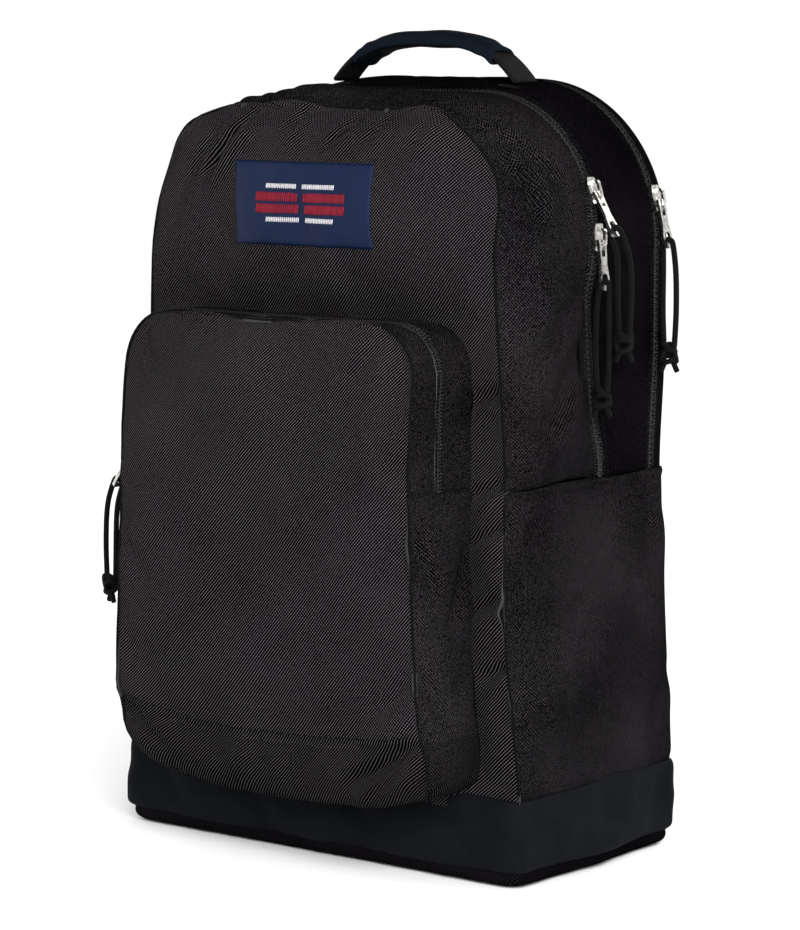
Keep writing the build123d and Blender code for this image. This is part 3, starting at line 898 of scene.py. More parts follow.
def back_rim_skin():
    """Narrow gusset behind the rear zip and the flat back panel."""
    verts = []
    depths = (REAR_ZIP_Y + REAR_RIM - 0.0004, REAR_ZIP_Y + 0.008, BACK_Y - 0.003, BACK_Y)
    for y in depths:
        lift = 0.0012 if y < BACK_Y - 0.001 else -0.0015
        verts += [tuple(p) for p in arch_line(min(y, BACK_Y), 0.0, SEAM_ROW) + arch_out(y, SEAM_ROW) * lift]
    columns = len(verts) // len(depths)
    # the rim wears the darker copy of the shell cloth, whose darkness is painted shade
    obj = new_mesh("rear_rim_cloth", verts, grid_faces(len(depths), columns), [REAR_CLOTH_PAINTED_SHADE, LINING])
    outward(obj, (0, 0, 0.3))
    lay_weave(obj, 0, line=np.array(verts[:columns]))
    subdivide(obj)
    return obj


def back_skin():
    """The back panel, slightly crowned."""
    left = left_edge(BACK_Y, 0.0015)
    rows = len(left)
    columns = TOP_COLUMNS + 1
    verts = []
    for x, z in left:
        for j in range(columns):
            share = -1 + 2 * j / TOP_COLUMNS
            crown = (1 - share**2) * sin(pi * min(1.0, max(0.0, (z - 0.05) / 0.42)))
            verts.append((-x * share, BACK_Y + 0.003 * crown, z))
    obj = new_mesh("back_panel_cloth", verts, grid_faces(rows, columns), [CLOTH, LINING])
    outward(obj, (0, 0, 0.25))
    subdivide(obj)
    return obj


front_cloth = lid_skin()
panel_folds(front_cloth)
side_cloths = [side_skin(-1), side_skin(1)]
rear_cloth_painted_shade = rear_skin()
rear_rim = back_rim_skin()
back_cloth = back_skin()
for skin in (front_cloth, rear_cloth_painted_shade, rear_rim, back_cloth, *side_cloths):
    set_coords(skin, flare(coords(skin)))

# ---- front pocket ----
POCKET_ROWS = 26
POCKET_HIGH = 12
POCKET_ARC = 12
POCKET_COLUMNS = 40


def pocket_left(inset=0.0):
    """Left half of the pocket's outline, from its foot to the end of its left corner."""
    radius = POCKET_CORNER - inset
    half = POCKET_HALF - inset
    height = POCKET_TOP - inset
    below = np.linspace(POCKET_LOW, SEAM_Z, POCKET_ROWS + 1)
    above = np.linspace(SEAM_Z, height - radius, POCKET_HIGH + 1)[1:]
    turns = np.linspace(0, pi / 2, POCKET_ARC + 1)[1:]
    straight = [(-half, z) for z in np.concatenate([below, above])]
    spring = height - radius
    curve = [(-half + radius - radius * cos(t), spring + radius * sin(t)) for t in turns]
    return np.array(straight + curve)


def pocket_line(y, inset=0.0, first=0):
    """The pocket's outline at a depth y, from foot to foot, without its first rows."""
    left = pocket_left(inset)
    level = np.linspace(left[-1, 0], -left[-1, 0], POCKET_COLUMNS + 1)[1:-1]
    rows = [(x, y, z) for x, z in left[first:]]
    rows += [(x, y, left[-1, 1]) for x in level]
    rows += [(x, y, z) for x, z in (left[::-1] * (-1, 1))[: len(left) - first]]
    return np.array(rows)


def pocket_out(y, first=0):
    """Directions that point out of the pocket along that outline."""
    out = pocket_line(y, 0.0, first) - pocket_line(y, 0.008, first)
    return out / np.linalg.norm(out, axis=1)[:, None]


def pocket_shape(co):
    """The pocket sags, is fuller below, leans back at the top, and its band turns round both corners."""
    co = np.array(co, float)
    x, y, z = co[:, 0].copy(), co[:, 1].copy(), co[:, 2].copy()
    out = np.clip((FRONT_Y - y) / (FRONT_Y - POCKET_Y), 0, 1)
    low = 1 - smooth_step(0.06, 0.25, z)
    side = np.sign(x)
    wide = side * (np.abs(x) / POCKET_HALF) ** 2
    co[:, 0] += wide * (0.0016 * low - 0.0055 * (1 - low) * out)
    co[:, 1] += 0.006 * smooth_step(0.25, 0.33, z) * out
    band = 1 - smooth_step(BAND_Z - 0.012, BAND_Z + 0.012, z)
    near = np.clip((np.abs(x) - (POCKET_HALF - 0.026)) / 0.026, 0, 1)
    reach = np.clip((-0.106 - y) / 0.026, 0, 1)
    co[:, 1] += 0.007 * near**2 * band * smooth_step(0.3, 1.0, out)
    co[:, 0] -= side * 0.004 * reach**2 * band * smooth_step(0.8, 1.0, np.abs(x) / POCKET_HALF)
    co[:, 0] += wide * 0.005 * bell(z - 0.072, 0.022)
    under = (1 - np.clip((z - POCKET_LOW) / 0.030, 0, 1)) ** 2
    co[:, 1] += 0.010 * under * out
    co[:, 0] -= wide * 0.005 * under * out
    sag = (1 - smooth_step(0.09, 0.24, z)) * out
    co[:, 2] -= 0.012 * np.clip(1 - (x / POCKET_HALF) ** 2, 0, 1) * sag
    return co


def pocket_front():
    """Pocket face and the front half of its arch above the cross seam."""
    left = pocket_left()
    rows = len(left)
    columns = POCKET_COLUMNS + 1
    verts = []
    for x, z in left:
        for j in range(columns):
            verts.append((x * (1 - 2 * j / POCKET_COLUMNS), POCKET_Y, z))
    faces = grid_faces(rows, columns)
    rim = [i * columns for i in range(POCKET_ROWS, rows)]
    rim += [(rows - 1) * columns + j for j in range(1, columns - 1)]
    rim += [i * columns + columns - 1 for i in range(rows - 1, POCKET_ROWS - 1, -1)]
    previous = rim
    for y in np.linspace(POCKET_Y, POCKET_ZIP_Y - POCKET_RIM + 0.0004, 6)[1:]:
        base = len(verts)
        line = pocket_line(y, 0.0, POCKET_ROWS)
        verts += [tuple(p) for p in line]
        current = list(range(base, base + len(line)))
        for k in range(len(line) - 1):
            faces.append((previous[k], current[k], current[k + 1], previous[k + 1]))
        previous = current
    obj = new_mesh("pocket_face_cloth", verts, faces, [CLOTH, LINING])
    outward(obj, (0, -0.10, 0.2))
    lay_weave(obj, rows * columns, rim, pocket_line(POCKET_Y, 0.0, POCKET_ROWS))
    co = coords(obj)
    held = np.zeros(len(co))
    seam = np.zeros(len(co), bool)
    seam[rim] = True
    seam[[i * columns for i in range(POCKET_ROWS)]] = True
    seam[[i * columns + columns - 1 for i in range(POCKET_ROWS)]] = True
    held[seam] = 0.95
    held[previous] = 1.0
    on_face = np.arange(len(co)) < rows * columns
    held[co[:, 2] < POCKET_LOW + 0.001] = 0.97
    held[on_face & (np.abs(co[:, 2] - BAND_Z) < 0.004)] = 0.9
    held[~on_face & (co[:, 2] < SEAM_Z + 0.001)] = 1.0
    inflate(obj, held, pressure=4.2, slack=0.018, cap=0.010)
    subdivide(obj)
    co = coords(obj)
    face = co[:, 1] < POCKET_Y + 0.002
    flat = co[:, [0, 2]]
    amount = folds(
        flat,
        (
            ((0.112, 0.088), (0.062, 0.066), 0.0055, 0.0048, 0.8),
            ((0.114, 0.078), (0.078, 0.058), 0.004, 0.0028),
            ((-0.112, 0.087), (-0.075, 0.070), 0.005, 0.0026),
            ((0.115, 0.125), (0.085, 0.105), 0.006, 0.0016),
            ((-0.114, 0.19), (-0.086, 0.165), 0.007, 0.0015),
            ((0.114, 0.245), (0.09, 0.262), 0.006, 0.0014),
            ((-0.105, 0.315), (-0.085, 0.292), 0.006, 0.0014),
            ((0.09, 0.318), (0.075, 0.296), 0.006, 0.0013),
        ),
    )
    wave = 0.0007 * np.sin(co[:, 0] * 150 + 2 * np.sin(co[:, 0] * 47)) * bell(co[:, 2] - 0.079, 0.012)
    above_band = co[:, 2] - BAND_Z
    amount += wave - 0.0012 * bell(above_band, 0.0016) + 0.0006 * bell(above_band - 0.0045, 0.002)
    amount = np.where(face, amount * 1.8 + rumple(co, 8, 0.075, 0.0021), 0.0)
    push(obj, amount)
    set_coords(obj, pocket_shape(coords(obj)))
    return obj


def pocket_gusset():
    """Sides and floor of the pocket in one band, up to the cross seam on both sides."""
    radius = 0.010
    half = POCKET_HALF
    low = POCKET_LOW
    left = [(-half, z) for z in np.linspace(SEAM_Z, low + radius, 24)]
    angles = np.linspace(0, pi / 2, 6)[1:]
    turn = [(-half + radius - radius * cos(t), low + radius - radius * sin(t)) for t in angles]
    floor = [(x, low) for x in np.linspace(-half + radius, half - radius, 34)[1:-1]]
    whole = left + turn + floor + [(-x, z) for x, z in (left + turn)[::-1]]
    depths = np.linspace(POCKET_Y, FRONT_Y + 0.0012, 13)
    verts = [(x, y, z) for y in depths for x, z in whole]
    obj = new_mesh("pocket_gusset_cloth", verts, grid_faces(len(depths), len(whole)), [CLOTH, LINING])
    outward(obj, (0, -0.105, 0.16))
    lay_weave(obj, 0, line=np.array(verts[: len(whole)]))
    co = coords(obj)
    held = np.zeros(len(co))
    held[(co[:, 1] < POCKET_Y + 0.001) | (co[:, 1] > FRONT_Y - 0.002)] = 1.0
    held[co[:, 2] > SEAM_Z - 0.001] = 1.0
    inflate(obj, held, pressure=3.0, slack=0.012, cap=0.005)
    subdivide(obj)
    co = coords(obj)
    side = np.abs(co[:, 0]) > POCKET_HALF - 0.004
    flat = co[:, [1, 2]]
    amount = folds(
        flat,
        (
            ((-0.130, 0.21), (-0.112, 0.17), 0.005, 0.0022),
            ((-0.083, 0.20), (-0.10, 0.15), 0.006, 0.0024),
            ((-0.129, 0.13), (-0.108, 0.10), 0.005, 0.0018),
        ),
    )
    amount += bell(co[:, 2] - (SEAM_Z - 0.0025), 0.0016) * 0.0008
    push(obj, np.where(side, amount * 1.5, 0.0))
    set_coords(obj, pocket_shape(coords(obj)))
    return obj


def pocket_rear():
    """Rear half of the pocket's arch, from its zip to the front panel."""
    depths = np.linspace(POCKET_ZIP_Y + POCKET_RIM - 0.0004, FRONT_Y + 0.0012, 7)
    verts = []
    for y in depths:
        verts += [tuple(p) for p in pocket_line(y, 0.0, POCKET_ROWS)]
    columns = len(verts) // len(depths)
    obj = new_mesh("pocket_arch_cloth", verts, grid_faces(len(depths), columns), [CLOTH, LINING])
    outward(obj, (0, -0.095, 0.2))
    lay_weave(obj, 0, line=np.array(verts[:columns]))
    co = coords(obj)
    held = np.zeros(len(co))
    held[:columns] = 1.0
    held[-columns:] = 1.0
    held[co[:, 2] < SEAM_Z + 0.001] = 1.0
    inflate(obj, held, pressure=3.0, slack=0.015, cap=0.004)
    subdivide(obj)
    set_coords(obj, pocket_shape(coords(obj)))
    return obj


pocket_cloth = pocket_front()
pocket_sides = pocket_gusset()
pocket_arch = pocket_rear()


def band_slot(obj):
    """The pocket's bottom band, a real panel that runs round its sides, gets a darker copy of the shell
    cloth as painted shade.
    """
    obj.data.materials.append(BAND_CLOTH_PAINTED_SHADE)
    for polygon in obj.data.polygons:
        x, z = polygon.center.x, polygon.center.z
        hang = 0.012 * max(0.0, 1 - (x / POCKET_HALF) ** 2)
        if z < BAND_Z - hang * smooth_step(FRONT_Y, POCKET_Y, polygon.center.y):
            polygon.material_index = 2


band_slot(pocket_cloth)
band_slot(pocket_sides)


# ---- suede base ----
def plan_loop(radius=0.009):
    """Rounded rectangle round the base, anticlockwise from the middle of the front."""
    points = []
    for cx, cy, first in (
        (HALF - radius, FRONT_Y + radius, -90),
        (HALF - radius, BACK_Y - radius, 0),
        (-HALF + radius, BACK_Y - radius, 90),
        (-HALF + radius, FRONT_Y + radius, 180),
    ):
        for turn in np.linspace(first, first + 90, 6):
            points.append((cx + radius * cos(radians(turn)), cy + radius * sin(radians(turn))))
    loop = []
    for k, point in enumerate(points):
        after = points[(k + 1) % len(points)]
        gap = sqrt((after[0] - point[0]) ** 2 + (after[1] - point[1]) ** 2)
        parts = max(1, int(round(gap / 0.0085)))
        for m in range(parts):
            x = point[0] + (after[0] - point[0]) * m / parts
            y = point[1] + (after[1] - point[1]) * m / parts
            loop.append((x, y))
    return loop


def suede_skin():
    loop = plan_loop()
    count = len(loop)
    rows = [(BASE_TOP + 0.0015, 0.0022), (BASE_TOP - 0.001, 0.0032)]
    rows += [(z, 0.0032) for z in np.linspace(BASE_TOP - 0.006, 0.0125, 8)]
    rows += [(0.0105, 0.0016), (0.0095, -0.0006), (0.0075, 0.0002), (0.004, -0.0002), (0.0012, -0.0026)]
    rows += [(0.0, -0.008), (0.0, -0.03), (0.0, -0.055)]
    verts = []
    for z, grow in rows:
        scale_x = (HALF + grow) / HALF
        scale_y = (BACK_Y + grow) / BACK_Y
        verts += [(x * scale_x, y * scale_y, z) for x, y in loop]
    verts.append((0.0, 0.0, 0.0))
    faces = []
    for i in range(len(rows) - 1):
        for k in range(count):
            m = (k + 1) % count
            faces.append((i * count + k, i * count + m, (i + 1) * count + m, (i + 1) * count + k))
    last = (len(rows) - 1) * count
    for k in range(count):
        faces.append((last + k, last + (k + 1) % count, len(verts) - 1))
    obj = new_mesh("suede_base_skin", verts, faces, [SUEDE, LINING, REAR_CLOTH_PAINTED_SHADE])
    outward(obj, (0, 0, 0.03))
    co = coords(obj)
    held = np.zeros(len(co))
    held[co[:, 2] < 0.004] = 1.0
    held[co[:, 2] > BASE_TOP - 0.002] = 0.99
    corners = (np.abs(np.abs(co[:, 0]) - HALF) < 0.006) & (np.abs(np.abs(co[:, 1]) - 0.078) < 0.006)
    held[corners & (co[:, 2] >= 0.004)] = 0.92
    inflate(obj, held, pressure=2.4, slack=0.012, cap=0.004)
    subdivide(obj)
    co = coords(obj)
    wall_band = smooth_step(0.006, 0.014, co[:, 2])
    around = np.arctan2(co[:, 1] * 1.6, co[:, 0])
    top_wave = 0.0014 * np.sin(around * 5 + 1.0) + 0.0006 * np.sin(around * 11 + 0.4)
    co[:, 2] += top_wave * smooth_step(0.02, BASE_TOP, co[:, 2])
    set_coords(obj, co)
    front = co[:, [0, 2]]
    sides = co[:, [1, 2]]
    on_front = co[:, 1] < FRONT_Y + 0.004
    on_side = np.abs(co[:, 0]) > HALF - 0.004
    dents = folds(
        front,
        (
            ((0.09, 0.045), (0.12, 0.012), 0.006, 0.0022),
            ((0.02, 0.05), (0.055, 0.02), 0.008, 0.0018),
            ((-0.06, 0.05), (-0.035, 0.014), 0.008, 0.0020),
            ((-0.12, 0.045), (-0.1, 0.015), 0.006, 0.0020),
        ),
    )
    lines = folds(
        sides,
        (
            ((-0.072, 0.046), (-0.04, 0.02), 0.006, 0.0020),
            ((-0.01, 0.05), (0.02, 0.022), 0.009, 0.0018),
            ((0.07, 0.046), (0.045, 0.018), 0.006, 0.0018),
        ),
    )
    lump = 0.0006 * np.sin(co[:, 0] * 160 + 3 * np.sin(co[:, 2] * 90))
    lump = lump * np.sin(co[:, 1] * 130 + co[:, 2] * 70)
    push(obj, wall_band * (np.where(on_front, dents, 0.0) + np.where(on_side, lines, 0.0) + lump))
    set_coords(obj, flare(coords(obj)))
    # the bottom below the suede gets the darker copy of the shell cloth, whose darkness is painted shade
    for polygon in obj.data.polygons:
        if polygon.center.z < 0.0098:
            polygon.material_index = 2
    return obj


suede_cloth = suede_skin()


# ---- seams and piping of the body ----
def piping(name, points, cloth, radius=0.0008):
    """Bound seam that runs halfway between its ideal line and the puffed cloth."""
    tree = tree_of(cloth)
    seam = []
    for point in points:
        place = tree.find_nearest(Vector(point))[0]
        seam.append(place * 0.5 + Vector(point) * 0.5 + Vector((0, -0.0003, 0)))
    verts, faces = tube(seam, radius, 8)
    return new_mesh(name, verts, faces, [TAPE])


front_piping = piping("front_seam_piping", flare(arch_line(FRONT_Y + 0.0005, -0.0002, 2)), front_cloth)
pocket_edge = pocket_shape(pocket_line(POCKET_Y + 0.0005, -0.0002))
pocket_piping = piping("pocket_seam_piping", pocket_edge, pocket_cloth)

# ---- zips ----
def zip_coil(line, out, pitch=0.0017):
    """Two rows of nylon coil turns that mesh along a line, with a cord of thread down each side."""
    bits = Bits()
    path = np.array(line, float)
    steps = np.linalg.norm(np.diff(path, axis=0), axis=1)
    reach = np.concatenate([[0], np.cumsum(steps)])
    places = np.arange(0.001, reach[-1], pitch)
    at = np.stack([np.interp(places, reach, path[:, i]) for i in range(3)], 1)
    lift = np.stack([np.interp(places, reach, np.array(out)[:, i]) for i in range(3)], 1)
    lift /= np.linalg.norm(lift, axis=1)[:, None]
    way = np.gradient(at, axis=0)
    way /= np.linalg.norm(way, axis=1)[:, None]
    for k in range(len(at)):
        side = 1 if k % 2 else -1
        centre = at[k] - lift[k] * 0.0002 + np.array((0.0, side * 0.0007, 0.0))
        capsule(bits, centre, (0, 1, 0), lift[k], 0.0032, pitch * 1.1, 0.0014, 5)
    for side in (-1, 1):
        verts, faces = tube(at - lift * 0.0003 + np.array((0, side * 0.0026, 0)), 0.0005, 6)
        bits.add(verts, faces)
    return bits


def tape_strip(name, lines):
    """Woven zip tape through rows of points."""
    verts = [tuple(p) for line in lines for p in line]
    return new_mesh(name, verts, grid_faces(len(lines), len(lines[0])), [TAPE])


def body_tape(name, y_values, centre_y):
    """Tape under the two cloth edges of a zip of the main body."""
    lines = []
    for y in y_values:
        near = 1 - smooth_step(0.0, 0.0035, abs(y - centre_y))
        lines.append(flare(arch_line(y, 0.0008, SEAM_ROW) + arch_out(y, SEAM_ROW) * (0.0004 * near)))
    obj = tape_strip(name, lines)
    outward(obj, (0, centre_y, 0.3))
    return thicken(obj, 0.0008)


main_front_tape = body_tape("main_zip_tape_front", np.linspace(ZIP_Y - 0.0117, ZIP_Y - 0.0004, 8), ZIP_Y)
main_rear_tape = body_tape("main_zip_tape_rear", np.linspace(ZIP_Y + 0.0004, ZIP_Y + 0.0117, 8), ZIP_Y)
main_line = flare(arch_line(ZIP_Y, 0.0, SEAM_ROW))
main_teeth = zip_coil(main_line, arch_out(ZIP_Y, SEAM_ROW)).object("main_zip_teeth", [TEETH])
rear_rows_a = np.linspace(REAR_ZIP_Y - 0.0117, REAR_ZIP_Y - 0.0004, 8)
rear_rows_b = np.linspace(REAR_ZIP_Y + 0.0004, REAR_ZIP_Y + 0.0090, 8)
rear_tape_a = body_tape("rear_zip_tape_front", rear_rows_a, REAR_ZIP_Y)
rear_tape_b = body_tape("rear_zip_tape_rear", rear_rows_b, REAR_ZIP_Y)
rear_line = flare(arch_line(REAR_ZIP_Y, 0.0, SEAM_ROW))
rear_teeth = zip_coil(rear_line, arch_out(REAR_ZIP_Y, SEAM_ROW)).object("rear_zip_teeth", [TEETH])

pocket_tapes = []
for part_name, y_values in (
    ("front", np.linspace(POCKET_ZIP_Y - 0.0085, POCKET_ZIP_Y - 0.0004, 6)),
    ("rear", np.linspace(POCKET_ZIP_Y + 0.0004, POCKET_ZIP_Y + 0.0085, 6)),
):
    strip = tape_strip(
        f"pocket_zip_tape_{part_name}", [pocket_shape(pocket_line(y, 0.0008, POCKET_ROWS)) for y in y_values]
    )
    outward(strip, (0, POCKET_ZIP_Y, 0.25))
    pocket_tapes.append(thicken(strip, 0.0008))
pocket_zip_line = pocket_shape(pocket_line(POCKET_ZIP_Y, 0.0, POCKET_ROWS))
pocket_teeth = zip_coil(pocket_zip_line, pocket_out(POCKET_ZIP_Y, POCKET_ROWS), 0.0016).object(
    "pocket_zip_teeth", [TEETH]
)


# ---- rolled cloth edges beside the zips ----
def body_edge(name, y, radius=0.0011):
    """Turned edge of the cloth along a zip of the main body."""
    points = flare(arch_line(y, 0.0, SEAM_ROW) + arch_out(y, SEAM_ROW) * 0.0002)
    verts, faces = tube(points, radius, 7)
    return new_mesh(name, verts, faces, [CLOTH])


def pocket_zip_edge(name, y):
    """Turned edge of the cloth along the pocket's zip."""
    points = pocket_shape(pocket_line(y, 0.0, POCKET_ROWS) + pocket_out(y, POCKET_ROWS) * 0.0002)
    verts, faces = tube(points, 0.0011, 7)
    return new_mesh(name, verts, faces, [CLOTH])


edges = {
    "main_front": body_edge("main_zip_edge_front", ZIP_Y - RIM),
    "main_rear": body_edge("main_zip_edge_rear", ZIP_Y + RIM, 0.0014),
    "rear_front": body_edge("rear_zip_edge_front", REAR_ZIP_Y - REAR_RIM),
    "rear_rear": body_edge("rear_zip_edge_rear", REAR_ZIP_Y + REAR_RIM),
    "pocket_front": pocket_zip_edge("pocket_zip_edge_front", POCKET_ZIP_Y - POCKET_RIM),
    "pocket_rear": pocket_zip_edge("pocket_zip_edge_rear", POCKET_ZIP_Y + POCKET_RIM),
}


# ---- label ----
def label_patch():
    """Satin patch that lies on the bulging front panel, with turned edges."""
    low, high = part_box("label")
    tree = tree_of(front_cloth)
    columns, rows = 54, 28
    verts = []
    for i in range(rows):
        for j in range(columns):
            u, v = j / (columns - 1), i / (rows - 1)
            x = low.x + (high.x - low.x) * u
            z = low.z + (high.z - low.z) * v
            hit = tree.ray_cast(Vector((x, -0.2, z)), Vector((0, 1, 0)))[0]
            rise = 0.0009 * (1 - max(abs(2 * u - 1) ** 24, abs(2 * v - 1) ** 14))
            ripple = 0.00022 * sin(x * 260 + z * 60) * sin(z * 190)
            verts.append((x, hit.y - 0.0003 - rise - ripple, z))
    obj = new_mesh("label_patch", verts, grid_faces(rows, columns), [LABEL])
    outward(obj, (0, 0, 0.4))
    return thicken(obj, 0.0004)


label = label_patch()
label_tree = tree_of(label)
low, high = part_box("label")
stitches = Bits()
inset = 0.0026
ring = [
    (low.x + inset, low.z + inset),
    (high.x - inset, low.z + inset),
    (high.x - inset, high.z - inset),
    (low.x + inset, high.z - inset),
    (low.x + inset, low.z + inset),
]
for (x0, z0), (x1, z1) in zip(ring, ring[1:]):
    stitch_row(stitches, [(x0, -0.0905, z0), (x1, -0.0905, z1)], label_tree, 0.0001, 0.0034, 0.0022, 0.0006)
label_thread = stitches.object("label_stitches", [NAVY_THREAD])

emblem = Bits()
emblem_core = Bits()
for row, (z, reach) in enumerate(((0.3850, 0.026), (0.3915, 0.034), (0.3985, 0.034), (0.4050, 0.026))):
    count = int(reach * 2 / 0.0013)
    for k in range(count):
        x = -reach + (k + 0.5) * 2 * reach / count
        if abs(x) < 0.0030:
            continue
        hit, normal, _, _ = label_tree.ray_cast(Vector((x, -0.2, z)), Vector((0, 1, 0)))
        bits = emblem_core if row in (1, 2) else emblem
        tall = 0.0058 if row in (1, 2) else 0.0030
        capsule(bits, hit + normal * 0.0002, (0.15, 0, 1), normal, tall, 0.0012, 0.0008, 5)
emblem_thread = emblem.object("label_emblem", [PALE_THREAD])
emblem_middle = emblem_core.object("label_emblem_middle", [RED_THREAD])


# ---- cords of the pulls ----
LOOP_ROUTE = (
    (0.0, 0.0, 0.0),
    (3.6, 0.0, 0.1),
    (3.9, 0.1, -7.0),
    (4.6, 0.3, -20.0),
    (4.9, 0.4, -42.0),
    (4.2, 0.2, -58.0),
    (3.5, 0.0, -68.0),
    (-3.5, 0.0, -68.4),
    (-4.0, -0.2, -58.0),
    (-4.6, -0.4, -42.0),
    (-4.4, -0.3, -20.0),
    (-3.9, -0.1, -7.0),
    (-3.6, 0.0, 0.1),
)
# letter: hook point in millimetres, side, shift along Y, lean in degrees, depth at which it hangs straight
LOOPS = {
    "a": ((156.75, 4.0, 381.40), 1, 4.4, 30.0, 20.0),
    "b": ((150.37, 4.0, 350.09), 1, -2.8, 5.0, 20.0),
    "c": ((150.61, 67.0, 371.67), 1, 0.0, 12.0, 20.0),
    "d": ((-136.13, 4.0, 427.06), -1, 0.0, 47.0, 44.0),
    "e": ((-137.21, -108.0, 220.82), -1, 0.0, 33.0, 30.0),
}


def place_route(hook, side, drift, lean, follow):
    slope = radians(lean)
    points = []
    for out, across, up in LOOP_ROUTE:
        depth = max(0.0, -up)
        bent = min(depth, follow)
        swing = bent - bent**2 / (2 * follow)
        turned = slope * (1 - bent / follow)
        x = side * (out * cos(turned) + swing * sin(slope))
        z = up + out * sin(turned) + swing * (1 - cos(slope))
        y = across + drift * min(1.0, depth / 20)
        points.append(Vector((hook[0] + x, hook[1] + y, hook[2] + z)) / 1000)
    return points


def overhand_knot(name, centre, seed, side):
    """Two strands tied in one overhand knot, with their two cut and sealed ends below."""
    bits = Bits()
    centre = np.array(centre)
    turns = np.linspace(0, 2 * pi, 46)
    for phase in (0.0, 2.2, 4.1):
        drop = 0.0031 * (phase / 2.1 - 1)
        ring = []
        for t in turns[:-1]:
            height = 0.0022 * sin(t + phase) + drop
            ring.append(centre + np.array((0.0036 * cos(t), 0.0036 * sin(t), height)))
        verts, faces = tube(ring, 0.0017, 10, closed=True)
        bits.add(verts, faces)
    cross = []
    for t in turns[:34]:
        cross.append(centre + np.array((0.0045 * cos(t), 0.0045 * sin(t), 0.005 * cos(t * 2 + seed))))
    verts, faces = tube(cross, 0.0016, 10)
    bits.add(verts, faces)
    for shift, spread in ((-1, -0.0030), (1, 0.0034)):
        tail = []
        for s in np.linspace(0, 1, 8):
            x = side * (0.0012 * shift + spread * s)
            tail.append(centre + np.array((x, shift * 0.0014 + 0.001 * shift * s, -0.004 - 0.0075 * s)))
        verts, faces = tube(tail, [0.00165] * 7 + [0.0014], 10)
        bits.add(verts, faces)
    return bits.object(name, [BRAID])


for seed, (letter, (hook, side, drift, lean, follow)) in enumerate(LOOPS.items()):
    points = place_route(hook, side, drift, lean, follow)
    curve = bpy.data.curves.new(f"pull_cord_{letter}", "CURVE")
    curve.dimensions = "3D"
    spline = curve.splines.new("NURBS")
    spline.points.add(len(points) - 1)
    for point, place in zip(spline.points, points):
        point.co = (*place, 1.0)
    spline.order_u = 3
    spline.use_endpoint_u = True
    spline.resolution_u = 12
    curve.bevel_depth = 0.00175
    curve.bevel_resolution = 4
    curve.use_fill_caps = True
    loop = bpy.data.objects.new(f"pull_cord_{letter}", curve)
    bpy.context.scene.collection.objects.link(loop)
    curve.materials.append(BRAID)
    knot_place = (points[6] + points[7]) / 2
    tied = overhand_knot(f"cord_knot_{letter}", knot_place, seed, side)
    for piece in (loop, tied):
        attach(piece, f"pull_{letter}")
    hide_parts(f"cord_{letter}")


# ---- haul handle ----
HANDLE_Y = 0.030
TAB_X = 0.071


def ribbon(centres, across, width, thickness, columns=9, dome=0.15):
    """Flat band through centre points: across is the width direction at each point."""
    centres = np.array(centres, float)
    across = np.array(across, float)
    ways = np.gradient(centres, axis=0)
    ways /= np.linalg.norm(ways, axis=1)[:, None]
    widths = np.broadcast_to(width, (len(centres),))
    verts = []
    ring = []
    for j in range(columns):
        u = -1 + 2 * j / (columns - 1)
        ring.append((u, (1 - dome * u**4) * 0.5))
    for j in range(columns):
        u = 1 - 2 * j / (columns - 1)
        ring.append((u, -(1 - dome * u**4) * 0.5))
    for centre, side, way, w in zip(centres, across, ways, widths):
        side = side - way * np.dot(side, way)
        side /= np.linalg.norm(side)
        lift = np.cross(side, way)
        for u, v in ring:
            verts.append(centre + side * u * w / 2 + lift * v * thickness)
    return verts, ring_faces(len(centres), len(ring))


def handle_line():
    """Centre line of the handle's webbing from one tab to the other."""
    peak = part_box("handle_grip")[1].z - 0.0045
    points = []
    for s in np.linspace(-1, 1, 61):
        x = TAB_X * s
        arch = 1 - abs(s) ** 3.2
        z = 0.4655 + (peak - 0.4655) * arch
        points.append((x, HANDLE_Y, z))
    return points


line = handle_line()
verts, faces = ribbon(line, [(0, 1, 0)] * len(line), 0.022, 0.0026)
handle_web = new_mesh("handle_webbing_band", verts, faces, [WEBBING])
grip_line = [p for p in line if abs(p[0]) < 0.0565]
verts = []
sides = 28
for x, y, z in grip_line:
    share = abs(x) / 0.0565
    swell = 1 + 0.05 * sin(x * 190) + 0.04 * sin(x * 87 + 1)
    wide = 0.0123 * (1 + 0.05 * share**6)
    tall = (0.0052 + 0.0006 * share**8) * swell
    for k in range(sides):
        a = 2 * pi * k / sides
        droop = 0.0022 * abs(cos(a)) ** 3
        flat = abs(cos(a)) ** 0.75 * (1 if cos(a) > 0 else -1)
        verts.append((x, y + wide * flat, z - 0.0004 + tall * sin(a) - droop))
grip = new_mesh("handle_grip_sleeve", verts, ring_faces(len(grip_line), sides, capped=False), [GRIP_SUEDE])
agree_normals(grip)
thicken(grip, 0.0018)
subdivide(grip)
co = coords(grip)
crease = 0.0005 * np.sin(co[:, 0] * 520 + 1.5 * np.sin(co[:, 1] * 300))
crease = crease * smooth_step(0.03, 0.055, np.abs(co[:, 0]))
push(grip, crease)

tab_bits = Bits()
for side in (-1, 1):
    surface_z = top(HANDLE_Y)
    spots = []
    for k in range(9):
        x = side * (TAB_X - 0.012 + 0.0032 * k)
        radius = corner(HANDLE_Y)
        spring = HALF - radius
        z = surface_z if abs(x) < spring else surface_z - radius + sqrt(radius**2 - (abs(x) - spring) ** 2)
        spots.append((x, HANDLE_Y, z + 0.0021))
    verts, faces = ribbon(spots, [(0, 1, 0)] * len(spots), 0.0235, 0.0016)
    tab_bits.add(verts, faces)
tabs = tab_bits.object("handle_tab_patches", [WEBBING])


